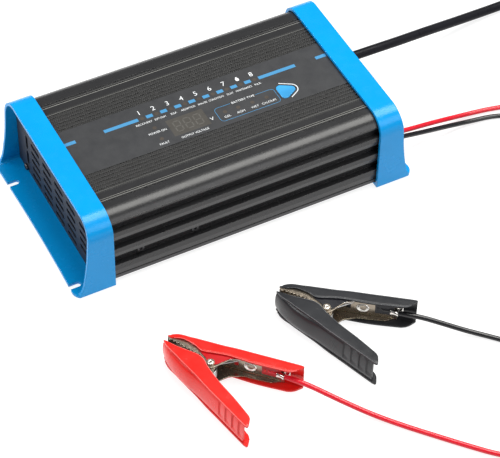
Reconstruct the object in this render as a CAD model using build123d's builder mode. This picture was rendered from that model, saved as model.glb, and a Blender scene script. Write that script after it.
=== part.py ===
from build123d import *
import os
from math import cos, hypot, pi, radians, sin, tan

os.makedirs("parts", exist_ok=True)

# ---------------------------------------------------------------- driving dimensions (mm)
# Charger body. X runs along its length, Y across it, Z up from the surface it stands on.
body_width = 160.0  # outside of the end frames
body_height = 73.0
frame_inner_x = 114.7  # edge of an end frame that meets the finned case
frame_top_x = 134.1  # outer edge of an end frame along its top
flange_mid_x = 146.8  # outer edge of the mounting flange, half way across
flange_ear_x = 148.0  # and beside its slots
frame_wall = 2.5
frame_corner_r = 17.0
slot_width = 5.0
slot_inner_x = 138.6
slot_front_y = -67.5  # slots of the left frame; the right one is the same moulding, turned round
slot_rear_y = 52.5

case_half_length = 125.5
case_top_z = 70.0
case_foot_z = 5.0
fin_tip_y = 76.7
fin_root_y = 71.7
case_inner_y = 69.2
case_inner_top_z = 67.0
fins_z = ((45.9, 54.8), (27.9, 36.8), (7.4, 18.8))  # foot and top of each fin
label_half_width = 25.5
label_depth = 0.5

base_sheet = 1.5
base_half_width = 76.0
base_screw_places = [(x, y) for x in (-100, 0, 100) for y in (-70, 70)]
side_screw_x = (-89.8, -43.6)
side_screw_z = 23.4

plate_thickness = 2.0
plate_outer_x = case_half_length + plate_thickness
plate_half_width = 77.0
screw_y = 60.0
screw_low_z = 7.4
screw_high_z = 62.4
vent_pitch_y = 22.7
vent_pitch_z = 8.4
vent_width = 16.5
vent_height = 4.2

overlay_top_z = 69.9
board_top_z = 58.6  # display board
main_board_z = 14.0
main_board_top_z = 15.6

# Display, indicator and key places on the label
window_x = (-33.5, -2.0)
window_y = (-18.5, 0.0)
stage_lamp_pitch = 12.25
stage_lamp_x = -47.9
stage_lamp_y = 10.5
lamp_places = [(stage_lamp_x + stage_lamp_pitch * k, stage_lamp_y) for k in range(9)]
lamp_places += [(-43.8, -3.0), (-43.8, -16.0)]
lamp_places += [(x, -11.5) for x in (13.0, 24.5, 37.0, 49.5)]
key_outline = [(60.3, -1.5), (78.2, -11.75), (60.3, -22.0)]
key_centre = (66.3, -11.75)
key_gap = 0.3

# Leads
mains_diameter = 8.0
wire_diameter = 4.0
wire_exit_x = 131.5
red_exit = (wire_exit_x, -51.5, 26.0)
black_exit = (wire_exit_x, -57.8, 26.0)
mains_exit = (152.0, 35.0, 30.7)

# Clamps lie on their sides; each is placed by its pivot and the heading of its jaws
clamp_height = 25.0
clamp_places = {"black": ((9.0, -188.0), 126.7), "red": ((-92.0, -196.0), 118.1)}


def bar(x, y, z):
    """A block given by its lowest and highest x, y and z."""
    size = (x[1] - x[0], y[1] - y[0], z[1] - z[0])
    middle = ((x[0] + x[1]) / 2, (y[0] + y[1]) / 2, (z[0] + z[1]) / 2)
    return Pos(*middle) * Box(*size, mode=Mode.PRIVATE)


# ---------------------------------------------------------------- finned case
# One extrusion forms the top and both finned sides. Its underside is open.
case_half_outline = [
    (74.5, 64.2),
    (74.5, 62.4),
    (fin_root_y, 62.4),
]
for fin_foot_z, fin_head_z in fins_z:
    case_half_outline += [
        (fin_root_y, fin_head_z),
        (fin_tip_y, fin_head_z),
        (fin_tip_y, (fin_head_z + fin_foot_z) / 2),
        (fin_tip_y - 0.9, fin_foot_z),
        (fin_root_y if fin_foot_z > 20 else 74.4, fin_foot_z),
    ]
foot_outline = [
    (74.4, case_foot_z),
    (55.0, case_foot_z),
    (55.0, 11.0),
    (65.0, 11.0),
    (65.0, 8.0),
    (case_inner_y, 8.0),
    (case_inner_y, 61.0),
    (63.2, case_inner_top_z),
    (0, case_inner_top_z),
]
case_corner_y = 62.7
case_corner_r = 14.0

with BuildPart() as case_extrusion:
    with BuildSketch(Plane.YZ.offset(-case_half_length)) as case_section:
        with BuildLine():
            Polyline((0, case_inner_top_z), (0, case_top_z), (case_corner_y, case_top_z))
            corner_arc = RadiusArc(
                (case_corner_y, case_top_z), (74.05, 64.2), case_corner_r
            )
            Polyline(corner_arc @ 1, *case_half_outline, *foot_outline)
        make_face()
        # ribs and the double line beside the label recess
        with Locations([(26.55 + 3.5 * k, case_top_z - 0.4) for k in range(6)]):
            Rectangle(1.9, 0.8, mode=Mode.SUBTRACT)
        with Locations((54.4, case_top_z - 0.35), (57.2, case_top_z - 0.35)):
            Rectangle(1.3, 0.7, mode=Mode.SUBTRACT)
        with Locations((0, case_top_z - label_depth / 2)):
            Rectangle(2 * label_half_width, label_depth, mode=Mode.SUBTRACT)
        # channels that take the end screws
        with Locations((screw_y, screw_high_z)):
            Circle(4.8)
        with Locations((screw_y, screw_high_z), (screw_y, screw_low_z)):
            Circle(1.6, mode=Mode.SUBTRACT)
        mirror(about=Plane.YZ)
    extrude(amount=2 * case_half_length)
    # openings under the label for the display, the key and the indicators
    with BuildSketch(Plane.XY.offset(case_inner_top_z - 1)):
        with Locations((sum(window_x) / 2, sum(window_y) / 2)):
            Rectangle(window_x[1] - window_x[0], window_y[1] - window_y[0])
        with Locations(*lamp_places):
            Circle(1.1)
    extrude(amount=5, mode=Mode.SUBTRACT)
    with BuildSketch(Plane.XY.offset(case_inner_top_z - 1)) as key_hole:
        Polygon(*key_outline, align=None)
        fillet(key_hole.vertices(), 3.5)
        offset(amount=key_gap)
    extrude(amount=5, mode=Mode.SUBTRACT)
    # holes for the side screws that hold the heat bars
    with BuildSketch(Plane.XZ.offset(-80)):
        with Locations(*[(x, side_screw_z) for x in side_screw_x]):
            Circle(1.6)
    extrude(amount=160, mode=Mode.SUBTRACT)
    # and for those of the base plate
    with BuildSketch(Plane.XY.offset(case_foot_z)):
        with Locations(*base_screw_places):
            Circle(1.6)
    extrude(amount=2.4, mode=Mode.SUBTRACT)
case_extrusion.part.label = "case_extrusion"
export_step(case_extrusion.part, "parts/case_extrusion.step")

# ---------------------------------------------------------------- base plate
# Steel sheet under the case, with its two long edges turned up.
with BuildPart() as base_plate:
    with BuildSketch(Plane.YZ.offset(-case_half_length)):
        with Locations((0, case_foot_z - base_sheet / 2)):
            Rectangle(2 * base_half_width, base_sheet)
        lip_y = base_half_width - base_sheet / 2
        with Locations((lip_y, 5.1), (-lip_y, 5.1)):
            Rectangle(base_sheet, 3.2)
    extrude(amount=2 * case_half_length)
    with BuildSketch(Plane.XY.offset(case_foot_z)):
        with Locations(*base_screw_places):
            Circle(1.6)
    extrude(amount=-base_sheet, mode=Mode.SUBTRACT)
base_plate.part.label = "base_plate"
export_step(base_plate.part, "parts/base_plate.step")

with BuildPart() as base_screws:
    with BuildSketch(Plane.XY.offset(case_foot_z - base_sheet)):
        with Locations(*base_screw_places):
            Circle(2.8)
    extrude(amount=-1.4)
    with BuildSketch(Plane.XY.offset(case_foot_z - base_sheet)):
        with Locations(*base_screw_places):
            Circle(1.6)
    extrude(amount=base_sheet + 2.2)
base_screws.part.label = "base_screws"
export_step(base_screws.part, "parts/base_screws.step")

# ---------------------------------------------------------------- end frames
# A moulded sleeve round each end of the case. Its side walls sweep outward towards a
# flat flange with two open slots for the fixing screws.
with BuildPart() as right_end_frame:
    inner_r = frame_corner_r - frame_wall
    for inset, top_r, foot_r, mode in (
        (0, frame_corner_r, 1.2, Mode.ADD),
        (frame_wall, inner_r, 3.0, Mode.SUBTRACT),
    ):
        with BuildSketch(Plane.YZ.offset(frame_inner_x)) as sleeve:
            with Locations((0, body_height / 2)):
                Rectangle(body_width - 2 * inset, body_height - 2 * inset)
            fillet(sleeve.vertices().group_by(Axis.Y)[-1], top_r)
            fillet(sleeve.vertices().group_by(Axis.Y)[0], foot_r)
        extrude(amount=40, mode=mode)
    # the sweep of the side walls, seen from the side
    with BuildSketch(Plane.XZ.offset(-body_width)):
        with BuildLine():
            sweep_line = Spline(
                (frame_top_x, body_height),
                (134.6, 66),
                (135.9, 50),
                (137.3, 33),
                (139.9, 16),
                (142.2, 7),
                (144.6, frame_wall),
                tangents=[(0, -1), (0.5, -0.8)],
            )
            Polyline(sweep_line @ 1, (165, frame_wall), (165, 80), (frame_top_x, 80), sweep_line @ 0)
        make_face()
    extrude(amount=2 * body_width, mode=Mode.SUBTRACT)
    # the flange, seen from above
    with BuildSketch(Plane.XY.offset(-1)) as outside_flange:
        with BuildLine():
            edge = ThreePointArc(
                (flange_ear_x, -70), (flange_mid_x, 0), (flange_ear_x, 70)
            )
            corner = Spline(edge @ 1, (147.2, 76.2), (143.0, 80.4))
            Polyline(corner @ 1, (143.0, 90), (170, 90), (170, -90), (143.0, -90), (143.0, -80.4))
            Spline((143.0, -80.4), (147.2, -76.2), edge @ 0)
        make_face()
    extrude(amount=body_height + 2, mode=Mode.SUBTRACT)
    with BuildSketch(Plane.XY.offset(-1)):
        for y in (-slot_front_y, -slot_rear_y):
            with Locations((slot_inner_x + slot_width / 2 + 10, y)):
                Rectangle(20, slot_width)
            with Locations((slot_inner_x + slot_width / 2, y)):
                Circle(slot_width / 2)
    extrude(amount=frame_wall + 2, mode=Mode.SUBTRACT)
    # pads that the base plate's edges rest on
    with BuildSketch(Plane.XY.offset(frame_wall)):
        with Locations((120.5, 68), (120.5, -68)):
            Rectangle(9, 11)
    extrude(amount=case_foot_z - base_sheet - frame_wall)
right_end_frame.part.label = "right_end_frame"
export_step(right_end_frame.part, "parts/right_end_frame.step")

with BuildPart() as left_end_frame:
    add(right_end_frame.part.rotate(Axis.Z, 180))
left_end_frame.part.label = "left_end_frame"
export_step(left_end_frame.part, "parts/left_end_frame.step")

# ---------------------------------------------------------------- end plates
plate_screw_places = [(y, z) for y in (-screw_y, screw_y) for z in (screw_low_z, screw_high_z)]
vent_rows = [9.2 + vent_pitch_z * k for k in range(7)]
left_vent_columns = [40.0 - vent_pitch_y * k for k in range(4)]
fan_y, fan_z = -4.0, 37.0
mains_gland_y, mains_gland_z = 34.0, 31.5


def plate_outline():
    """Outline of an end plate: it fills the frame's opening above the flange."""
    with BuildSketch() as outline:
        with Locations((0, (frame_wall + 70.3) / 2)):
            Rectangle(2 * plate_half_width, 70.3 - frame_wall)
        fillet(outline.vertices().group_by(Axis.Y)[-1], 14.0)
        fillet(outline.vertices().group_by(Axis.Y)[0], 3.0)
    return outline.sketch


with BuildPart() as left_end_plate:
    with BuildSketch(Plane.YZ.offset(-plate_outer_x)):
        add(plate_outline())
        for z in vent_rows:
            with Locations(*[(y, z) for y in left_vent_columns]):
                SlotOverall(vent_width, vent_height, mode=Mode.SUBTRACT)
        with Locations(*[(-50.0, z) for z in vent_rows[1:6]]):
            SlotOverall(12.0, vent_height, mode=Mode.SUBTRACT)
        with Locations((57.0, 37.5), (57.0, 20.5), (-62.5, 37.5), (-62.5, 20.5)):
            SlotOverall(14.0, vent_height, rotation=90, mode=Mode.SUBTRACT)
        with Locations(*plate_screw_places):
            Circle(1.8, mode=Mode.SUBTRACT)
    extrude(amount=plate_thickness)
    fillet(left_end_plate.faces().sort_by(Axis.X)[0].outer_wire().edges(), 1.3)
left_end_plate.part.label = "left_end_plate"
export_step(left_end_plate.part, "parts/left_end_plate.step")

with BuildPart() as right_end_plate:
    with BuildSketch(Plane.YZ.offset(case_half_length)):
        add(plate_outline())
        for z in vent_rows[1:6]:
            with Locations((fan_y - 9.3, z), (fan_y + 9.3, z)):
                SlotOverall(15.0, vent_height, mode=Mode.SUBTRACT)
        for z in vent_rows[1:6]:
            with Locations((-35.5, z)):
                SlotOverall(14.0, vent_height, mode=Mode.SUBTRACT)
        with Locations((mains_gland_y, mains_gland_z)):
            Circle(7.0, mode=Mode.SUBTRACT)
        with Locations((red_exit[1], red_exit[2]), (black_exit[1], black_exit[2])):
            Circle(3.0, mode=Mode.SUBTRACT)
        with Locations(*plate_screw_places):
            Circle(1.8, mode=Mode.SUBTRACT)
    extrude(amount=plate_thickness)
right_end_plate.part.label = "right_end_plate"
export_step(right_end_plate.part, "parts/right_end_plate.step")


def end_screws(outward):
    """Four pan-head screws through an end plate; outward is +1 on the right, -1 on the left."""
    head_face = outward * plate_outer_x
    with BuildPart() as screws:
        for y, z in plate_screw_places:
            axis_plane = Plane(origin=(head_face, y, z), z_dir=(outward, 0, 0))
            with BuildSketch(axis_plane):
                Circle(3.0)
            extrude(amount=2.1)
            with BuildSketch(axis_plane):
                Circle(1.55)
            extrude(amount=-11)
        domes = screws.edges().filter_by(GeomType.CIRCLE)
        domes = domes.filter_by(lambda e: e.radius > 2.9 and abs(e.center().X) > plate_outer_x + 1)
        fillet(domes, 1.2)
        # cross recess
        for y, z in plate_screw_places:
            with BuildSketch(Plane(origin=(head_face + outward * 1.0, y, z), z_dir=(outward, 0, 0))):
                Rectangle(3.4, 0.8)
                Rectangle(0.8, 3.4)
            extrude(amount=3, mode=Mode.SUBTRACT)
    return screws


left_end_screws = end_screws(-1)
left_end_screws.part.label = "left_end_screws"
export_step(left_end_screws.part, "parts/left_end_screws.step")

right_end_screws = end_screws(1)
right_end_screws.part.label = "right_end_screws"
export_step(right_end_screws.part, "parts/right_end_screws.step")

# ---------------------------------------------------------------- side screws and heat bars
heat_bar_inner_y = 66.2

with BuildPart() as side_screws:
    for side in (-1, 1):
        for x in side_screw_x:
            root_plane = Plane(origin=(x, side * fin_root_y, side_screw_z), z_dir=(0, side, 0))
            with BuildSketch(root_plane):
                Circle(2.9)
            extrude(amount=1.5)
            with BuildSketch(root_plane):
                Circle(1.55)
            extrude(amount=-5.0)
            with BuildSketch(root_plane.offset(0.7)):
                RegularPolygon(1.5, 6)
            extrude(amount=2, mode=Mode.SUBTRACT)
side_screws.part.label = "side_screws"
export_step(side_screws.part, "parts/side_screws.step")

with BuildPart() as heat_bars:
    for side in (-1, 1):
        y_range = sorted((side * heat_bar_inner_y, side * case_inner_y))
        add(bar((-106, -27), y_range, (17.5, 45)))
    with BuildSketch(Plane.XZ.offset(-80)):
        with Locations(*[(x, side_screw_z) for x in side_screw_x]):
            Circle(1.6)
    extrude(amount=160, mode=Mode.SUBTRACT)
heat_bars.part.label = "heat_bars"
export_step(heat_bars.part, "parts/heat_bars.step")

with BuildPart() as power_transistors:
    for side in (-1, 1):
        for x in (-98, -66, -36):
            body_y = sorted((side * 61.2, side * heat_bar_inner_y))
            add(bar((x - 8, x + 8), body_y, (27, 44)))
            leg_y = sorted((side * 63.2, side * 64.0))
            for leg in (-5.4, 0, 5.4):
                add(bar((x + leg - 0.6, x + leg + 0.6), leg_y, (main_board_top_z, 27)))
power_transistors.part.label = "power_transistors"
export_step(power_transistors.part, "parts/power_transistors.step")

# ---------------------------------------------------------------- label, display and key
with BuildPart() as label_overlay:
    with BuildSketch(Plane.XY.offset(case_top_z - label_depth)):
        Rectangle(2 * case_half_length, 2 * label_half_width - 0.3)
        with Locations((sum(window_x) / 2, sum(window_y) / 2)):
            Rectangle(
                window_x[1] - window_x[0], window_y[1] - window_y[0], mode=Mode.SUBTRACT
            )
        with Locations(*lamp_places):
            Circle(1.1, mode=Mode.SUBTRACT)
        with BuildSketch(mode=Mode.PRIVATE) as key_clearance:
            Polygon(*key_outline, align=None)
            fillet(key_clearance.vertices(), 3.5)
            offset(amount=key_gap)
        add(key_clearance.sketch, mode=Mode.SUBTRACT)
    extrude(amount=overlay_top_z - case_top_z + label_depth)
label_overlay.part.label = "label_overlay"
export_step(label_overlay.part, "parts/label_overlay.step")

with BuildPart() as display_window:
    add(bar((window_x[0], window_x[1]), (window_y[0], window_y[1]), (68.4, overlay_top_z)))
display_window.part.label = "display_window"
export_step(display_window.part, "parts/display_window.step")

with BuildPart() as light_pipes:
    with BuildSketch(Plane.XY.offset(board_top_z + 1.0)):
        with Locations(*lamp_places):
            Circle(1.1)
    extrude(amount=overlay_top_z - board_top_z - 1.0)
light_pipes.part.label = "light_pipes"
export_step(light_pipes.part, "parts/light_pipes.step")

with BuildPart() as indicator_leds:
    with Locations(*[(x, y, board_top_z + 0.5) for x, y in lamp_places]):
        Box(2.0, 1.25, 1.0)
indicator_leds.part.label = "indicator_leds"
export_step(indicator_leds.part, "parts/indicator_leds.step")

with BuildPart() as mode_button:
    with BuildSketch(Plane.XY.offset(64.5)) as key_cap:
        Polygon(*key_outline, align=None)
        fillet(key_cap.vertices(), 3.5)
    extrude(amount=70.3 - 64.5)
    chamfer(mode_button.edges().group_by(Axis.Z)[-1], 0.35)
    with BuildSketch(Plane.XY.offset(65.3)) as key_skirt:
        Polygon(*key_outline, align=None)
        fillet(key_skirt.vertices(), 3.5)
        offset(amount=1.4)
    extrude(amount=1.4)
    with BuildSketch(Plane.XY.offset(63.0)):
        with Locations(key_centre):
            Circle(2.2)
    extrude(amount=1.6)
mode_button.part.label = "mode_button"
export_step(mode_button.part, "parts/mode_button.step")

with BuildPart() as mode_switch:
    with BuildSketch(Plane.XY.offset(board_top_z)):
        with Locations(key_centre):
            Rectangle(6, 6)
    extrude(amount=3.0)
    with BuildSketch(Plane.XY.offset(board_top_z + 3.0)):
        with Locations(key_centre):
            Circle(1.7)
    extrude(amount=0.5)
mode_switch.part.label = "mode_switch"
export_step(mode_switch.part, "parts/mode_switch.step")

with BuildPart() as digit_display:
    add(bar((-33.0, -2.5), (-18.0, -0.5), (board_top_z, 68.4)))
digit_display.part.label = "digit_display"
export_step(digit_display.part, "parts/digit_display.step")

display_spacer_places = [(x, y) for x in (-63, 83) for y in (-20, 20)]
with BuildPart() as display_board:
    with BuildSketch(Plane.XY.offset(board_top_z - 1.6)):
        with Locations((10, 0)):
            RectangleRounded(156, 50, 2)
        with Locations(*display_spacer_places):
            Circle(1.3, mode=Mode.SUBTRACT)
    extrude(amount=1.6)
display_board.part.label = "display_board"
export_step(display_board.part, "parts/display_board.step")

with BuildPart() as display_cable:
    add(bar((-72.5, -71.7), (-8, 8), (20, 62)))
    add(bar((-74.5, -69.5), (-9, 9), (main_board_top_z, 20)))
    add(bar((-71.7, -60), (-8, 8), (61.2, 62)))
    add(bar((-66, -60), (-9, 9), (board_top_z, 61.2)))
display_cable.part.label = "display_cable"
export_step(display_cable.part, "parts/display_cable.step")

# ---------------------------------------------------------------- main board and its parts
spacer_places = [(x, y) for x in (-105, 0, 105) for y in (-46, 46)]
with BuildPart() as main_board:
    with BuildSketch(Plane.XY.offset(main_board_z)):
        RectangleRounded(236, 128, 2)
    extrude(amount=main_board_top_z - main_board_z)
main_board.part.label = "main_board"
export_step(main_board.part, "parts/main_board.step")

with BuildPart() as board_spacers:
    with BuildSketch(Plane.XY.offset(case_foot_z)):
        with Locations(*spacer_places):
            RegularPolygon(3.2, 6)
    extrude(amount=main_board_z - case_foot_z)
    with BuildSketch(Plane.XY.offset(board_top_z)):
        with Locations(*display_spacer_places):
            RegularPolygon(2.8, 6)
    extrude(amount=case_inner_top_z - board_top_z)
board_spacers.part.label = "board_spacers"
export_step(board_spacers.part, "parts/board_spacers.step")

transformer_x = -8.0
with BuildPart() as transformer_core:
    with BuildSketch(Plane.XZ.offset(-8)) as core_section:
        with Locations((transformer_x, main_board_top_z + 19)):
            Rectangle(44, 34)
        window_z = main_board_top_z + 19
        with Locations((transformer_x - 11, window_z), (transformer_x + 11, window_z)):
            Rectangle(9.6, 21.6, mode=Mode.SUBTRACT)
    extrude(amount=16)
transformer_core.part.label = "transformer_core"
export_step(transformer_core.part, "parts/transformer_core.step")

with BuildPart() as transformer_winding:
    with BuildSketch(Plane.XY.offset(main_board_top_z + 8.5)):
        with Locations((transformer_x, 0)):
            RectangleRounded(31.2, 35, 4)
            Rectangle(12.4, 16.0, mode=Mode.SUBTRACT)
    extrude(amount=21.0)
    with BuildSketch(Plane.XY.offset(main_board_top_z)):
        with Locations((transformer_x, 15), (transformer_x, -15)):
            Rectangle(30, 4)
    extrude(amount=8.5)
transformer_winding.part.label = "transformer_winding"
export_step(transformer_winding.part, "parts/transformer_winding.step")

with BuildPart() as line_choke:
    with BuildSketch(Plane.YZ.offset(70)):
        with Locations((44, main_board_top_z + 14)):
            Circle(14)
            Circle(6, mode=Mode.SUBTRACT)
    extrude(amount=13)
    fillet(line_choke.edges().filter_by(GeomType.CIRCLE), 2.5)
    add(bar((71, 82), (35, 53), (main_board_top_z, main_board_top_z + 3)))
line_choke.part.label = "line_choke"
export_step(line_choke.part, "parts/line_choke.step")

with BuildPart() as output_choke:
    with BuildSketch(Plane.XY.offset(main_board_top_z)):
        with Locations((46, -34)):
            Circle(17)
            Circle(7, mode=Mode.SUBTRACT)
    extrude(amount=15)
    fillet(output_choke.edges().filter_by(GeomType.CIRCLE), 3.0)
output_choke.part.label = "output_choke"
export_step(output_choke.part, "parts/output_choke.step")

with BuildPart() as input_capacitors:
    with BuildSketch(Plane.XY.offset(main_board_top_z)):
        with Locations((-50, 30), (-50, -30)):
            Circle(12.5)
    extrude(amount=36)
    fillet(input_capacitors.edges().group_by(Axis.Z)[-1], 1.5)
input_capacitors.part.label = "input_capacitors"
export_step(input_capacitors.part, "parts/input_capacitors.step")

with BuildPart() as output_capacitors:
    with BuildSketch(Plane.XY.offset(main_board_top_z)):
        with Locations(*[(76 + 15 * i, -16 - 15 * j) for i in range(2) for j in range(2)]):
            Circle(6.3)
    extrude(amount=25)
    fillet(output_capacitors.edges().group_by(Axis.Z)[-1], 1.0)
output_capacitors.part.label = "output_capacitors"
export_step(output_capacitors.part, "parts/output_capacitors.step")

with BuildPart() as fuse:
    with BuildSketch(Plane.YZ.offset(89)):
        with Locations((10, main_board_top_z + 6)):
            Circle(2.6)
    extrude(amount=20)
    for x in (89, 104):
        add(bar((x, x + 5), (6.4, 13.6), (main_board_top_z, main_board_top_z + 9)))
fuse.part.label = "fuse"
export_step(fuse.part, "parts/fuse.step")

# ---------------------------------------------------------------- cooling fan
fan_size = 40.0
fan_depth = 10.0
fan_x = case_half_length - fan_depth

with BuildPart() as fan_frame:
    with BuildSketch(Plane.YZ.offset(fan_x)):
        with Locations((fan_y, fan_z)):
            RectangleRounded(fan_size, fan_size, 3)
            Circle(19.0, mode=Mode.SUBTRACT)
    extrude(amount=fan_depth)
    # motor plate on four struts, with the bearing for the rotor's shaft
    with BuildSketch(Plane.YZ.offset(fan_x + 8.4)):
        with Locations((fan_y, fan_z)):
            Circle(10)
            Rectangle(39, 2.4)
            Rectangle(2.4, 39)
    extrude(amount=1.6)
    with BuildSketch(Plane.YZ.offset(fan_x + 3.2)):
        with Locations((fan_y, fan_z)):
            Circle(3.2)
    extrude(amount=5.2)
    with BuildSketch(Plane.YZ.offset(fan_x + 2.4)):
        with Locations((fan_y, fan_z)):
            Circle(1.56)
    extrude(amount=6.0, mode=Mode.SUBTRACT)
fan_frame.part.label = "fan_frame"
export_step(fan_frame.part, "parts/fan_frame.step")

with BuildPart() as fan_rotor:
    with BuildSketch(Plane.YZ.offset(fan_x + 0.8)):
        with Locations((fan_y, fan_z)):
            Circle(10.4)
    extrude(amount=7.2)
    with BuildSketch(Plane.YZ.offset(fan_x + 2.2)):
        with Locations((fan_y, fan_z)):
            Circle(9.2)
            Circle(1.5, mode=Mode.SUBTRACT)
    extrude(amount=7.2, mode=Mode.SUBTRACT)
    hub_centre = Pos(fan_x + 4.4, fan_y, fan_z)
    for k in range(7):
        blade_place = hub_centre * Rot(X=360 * k / 7) * Pos(0, 0, 14.2) * Rot(Z=38)
        add(blade_place * Box(1.2, 9.0, 8.0, mode=Mode.PRIVATE))
fan_rotor.part.label = "fan_rotor"
export_step(fan_rotor.part, "parts/fan_rotor.step")

# ---------------------------------------------------------------- cable outlets
gland_face = Vector(plate_outer_x, mains_gland_y, mains_gland_z)
boot_axis = Vector(*mains_exit) - gland_face
boot_plane = Plane(origin=gland_face, z_dir=boot_axis)

with BuildPart() as mains_strain_relief:
    with BuildSketch(boot_plane):
        Circle(6.4)
    with BuildSketch(boot_plane.offset(boot_axis.length)):
        Circle(mains_diameter / 2)
    loft()
    with BuildSketch(Plane.YZ.offset(plate_outer_x)):
        with Locations((mains_gland_y, mains_gland_z)):
            Circle(9.0)
    extrude(amount=2.0)
    with BuildSketch(Plane.YZ.offset(case_half_length - 2.5)):
        with Locations((mains_gland_y, mains_gland_z)):
            Circle(7.0)
    extrude(amount=plate_outer_x - case_half_length + 2.5)
mains_strain_relief.part.label = "mains_strain_relief"
export_step(mains_strain_relief.part, "parts/mains_strain_relief.step")

with BuildPart() as wire_grommets:
    for exit_point in (red_exit, black_exit):
        with BuildSketch(Plane.YZ.offset(case_half_length - 2.0)):
            with Locations(exit_point[1:]):
                Circle(3.0)
        extrude(amount=wire_exit_x - case_half_length + 2.0)
wire_grommets.part.label = "wire_grommets"
export_step(wire_grommets.part, "parts/wire_grommets.step")

# ---------------------------------------------------------------- tubes and coils of the leads


def swept_tube(name, points, diameter):
    """A round tube along straight runs joined by arcs, and a line on how it measures."""
    corners = [Vector(*p) for p in points]
    radii = []
    for before, corner, after in zip(corners, corners[1:], corners[2:]):
        turn = (corner - before).get_angle(after - corner)
        shorter = min((corner - before).length, (after - corner).length)
        radii.append(0.45 * shorter / tan(radians(turn) / 2))
    with BuildPart() as tube:
        with BuildLine() as path:
            FilletPolyline(*corners, radius=radii)
        route = path.wires()[0]
        with BuildSketch(Plane(origin=route @ 0, z_dir=route % 0)):
            Circle(diameter / 2)
        sweep(path=route)
    expected = pi * diameter**2 / 4 * route.length
    print(
        f"{name}: length {route.length:.1f}, smallest radius {min(radii):.1f},"
        f" volume {tube.part.volume:.0f} of {expected:.0f}"
    )
    return tube


def coil_solid(centre, inner_radius, outer_radius, height):
    """The outer shape of a wound coil lying on the surface."""
    with BuildPart() as coil:
        with BuildSketch():
            with Locations(centre):
                Circle(outer_radius)
                Circle(inner_radius, mode=Mode.SUBTRACT)
        extrude(amount=height)
    return coil


def clamp_point(place, u, v, z):
    """A point of a clamp's own frame, in the part's frame."""
    (px, py), heading = place
    c, s = cos(radians(heading)), sin(radians(heading))
    return (px + u * c - v * s, py + u * s + v * c, z)


# ---------------------------------------------------------------- battery clamps
# Frame of a clamp: u towards the jaws, v across, z up from the surface; pivot at (0, 0).
# The half on the +v side swings about the pivot, the other half carries the wire.
cover_sheet = 2.0
steel_sheet = 1.0
cover_outline = [
    (41.0, 3.5), (34.0, 8.5), (24.0, 13.2), (12.0, 16.8),
    (-1.5, 19.5), (-20.0, 24.6), (-40.0, 30.6), (-55.0, 35.0),
]
moving_flange = [
    (37.4, 2.1), (29.2, 2.8), (21.1, 1.6), (13.5, 0.2), (8.6, 0.2),
    (3.9, 1.8), (-1.2, 5.1), (-15.3, 11.5), (-33.1, 17.7), (-50.6, 24.7), (-54.2, 28.0),
]
fixed_outline = cover_outline[:-1] + [(-58.4, 36.0)]
fixed_flange = [
    (37.4, 2.1), (28.8, 5.8), (18.2, 6.0), (10.6, 4.6), (1.1, 8.5),
    (-8.8, 12.3), (-30.0, 17.6), (-52.4, 24.9), (-56.6, 28.0), (-58.0, 31.0),
]
grip_notch_u = (-25.4, -32.6, -39.8, -47.0)
back_slope = (30.6 - 35.0) / (-40.0 + 55.0)
pivot_pin_r = 2.0
pivot_clearance = 0.05
fixed_plate_z = (2.35, 21.65)  # undersides of the two side plates of each steel channel
moving_plate_z = (3.7, 20.3)
lug_share = 0.33  # how far the fixed channel runs along the last stretch of the back
lug_depth = 4.6


def clamp_plane(place, z):
    """Sketch plane of a clamp: origin on the pivot axis at height z, x along u."""
    (px, py), heading = place
    along_u = (cos(radians(heading)), sin(radians(heading)), 0)
    return Plane(origin=(px, py, z), x_dir=along_u, z_dir=(0, 0, 1))


def inset(points, distance):
    """An outline of the +v half, moved towards v = 0 by distance."""
    moved = []
    for i, (u, v) in enumerate(points):
        u0, v0 = points[max(i - 1, 0)]
        u1, v1 = points[min(i + 1, len(points) - 1)]
        length = hypot(u1 - u0, v1 - v0)
        moved.append((u - distance * (v1 - v0) / length, v + distance * (u1 - u0) / length))
    return moved


def between(a, b, share):
    return (a[0] + (b[0] - a[0]) * share, a[1] + (b[1] - a[1]) * share)


def on_side(points, side):
    """Points of the +v half, or their mirror images for the -v half (side -1)."""
    return [(u, side * v) for u, v in points]


def clamp_cover(place, side, outline, flange):
    """Plastic cover of one half: a back wall with a flange along each edge."""
    inner = inset(outline, cover_sheet)
    with BuildPart() as cover:
        with BuildSketch(clamp_plane(place, 0)):
            Polygon(*on_side(outline + inner[::-1], side), align=None)
        extrude(amount=clamp_height)
        for z in (0, clamp_height - cover_sheet):
            with BuildSketch(clamp_plane(place, z)):
                Polygon(*on_side(outline + flange[::-1], side), align=None)
            extrude(amount=cover_sheet)
        # grip notches across the back
        with BuildSketch(clamp_plane(place, 4.0)):
            for u in grip_notch_u:
                v = 30.6 + (u + 40.0) * back_slope
                with Locations((u, side * v)):
                    Rectangle(2.4, 1.6, rotation=side * -16.4)
        extrude(amount=clamp_height - 8.0, mode=Mode.SUBTRACT)
    return cover


tooth_line = [(37.0 - 1.5 * k, 0.7 + 1.5 * (k % 2)) for k in range(18)]
pivot_lobe = [(4.6 * cos(radians(a)), 4.6 * sin(radians(a))) for a in range(-15, -166, -30)]


def clamp_jaw(place, side, plate_z, outer, inner, tail, hole_r):
    """Steel channel of one half: a web against the cover's back and two toothed plates."""
    with BuildPart() as jaw:
        with BuildSketch(clamp_plane(place, plate_z[0])):
            Polygon(*on_side(outer + inner[::-1], side), align=None)
        extrude(amount=plate_z[1] + steel_sheet - plate_z[0])
        for z in plate_z:
            with BuildSketch(clamp_plane(place, z)):
                edge = tail[::-1] + pivot_lobe[::-1] + tooth_line[::-1]
                Polygon(*on_side(outer + edge, side), align=None)
                Circle(hole_r, mode=Mode.SUBTRACT)
            extrude(amount=steel_sheet)
    return jaw


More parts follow.
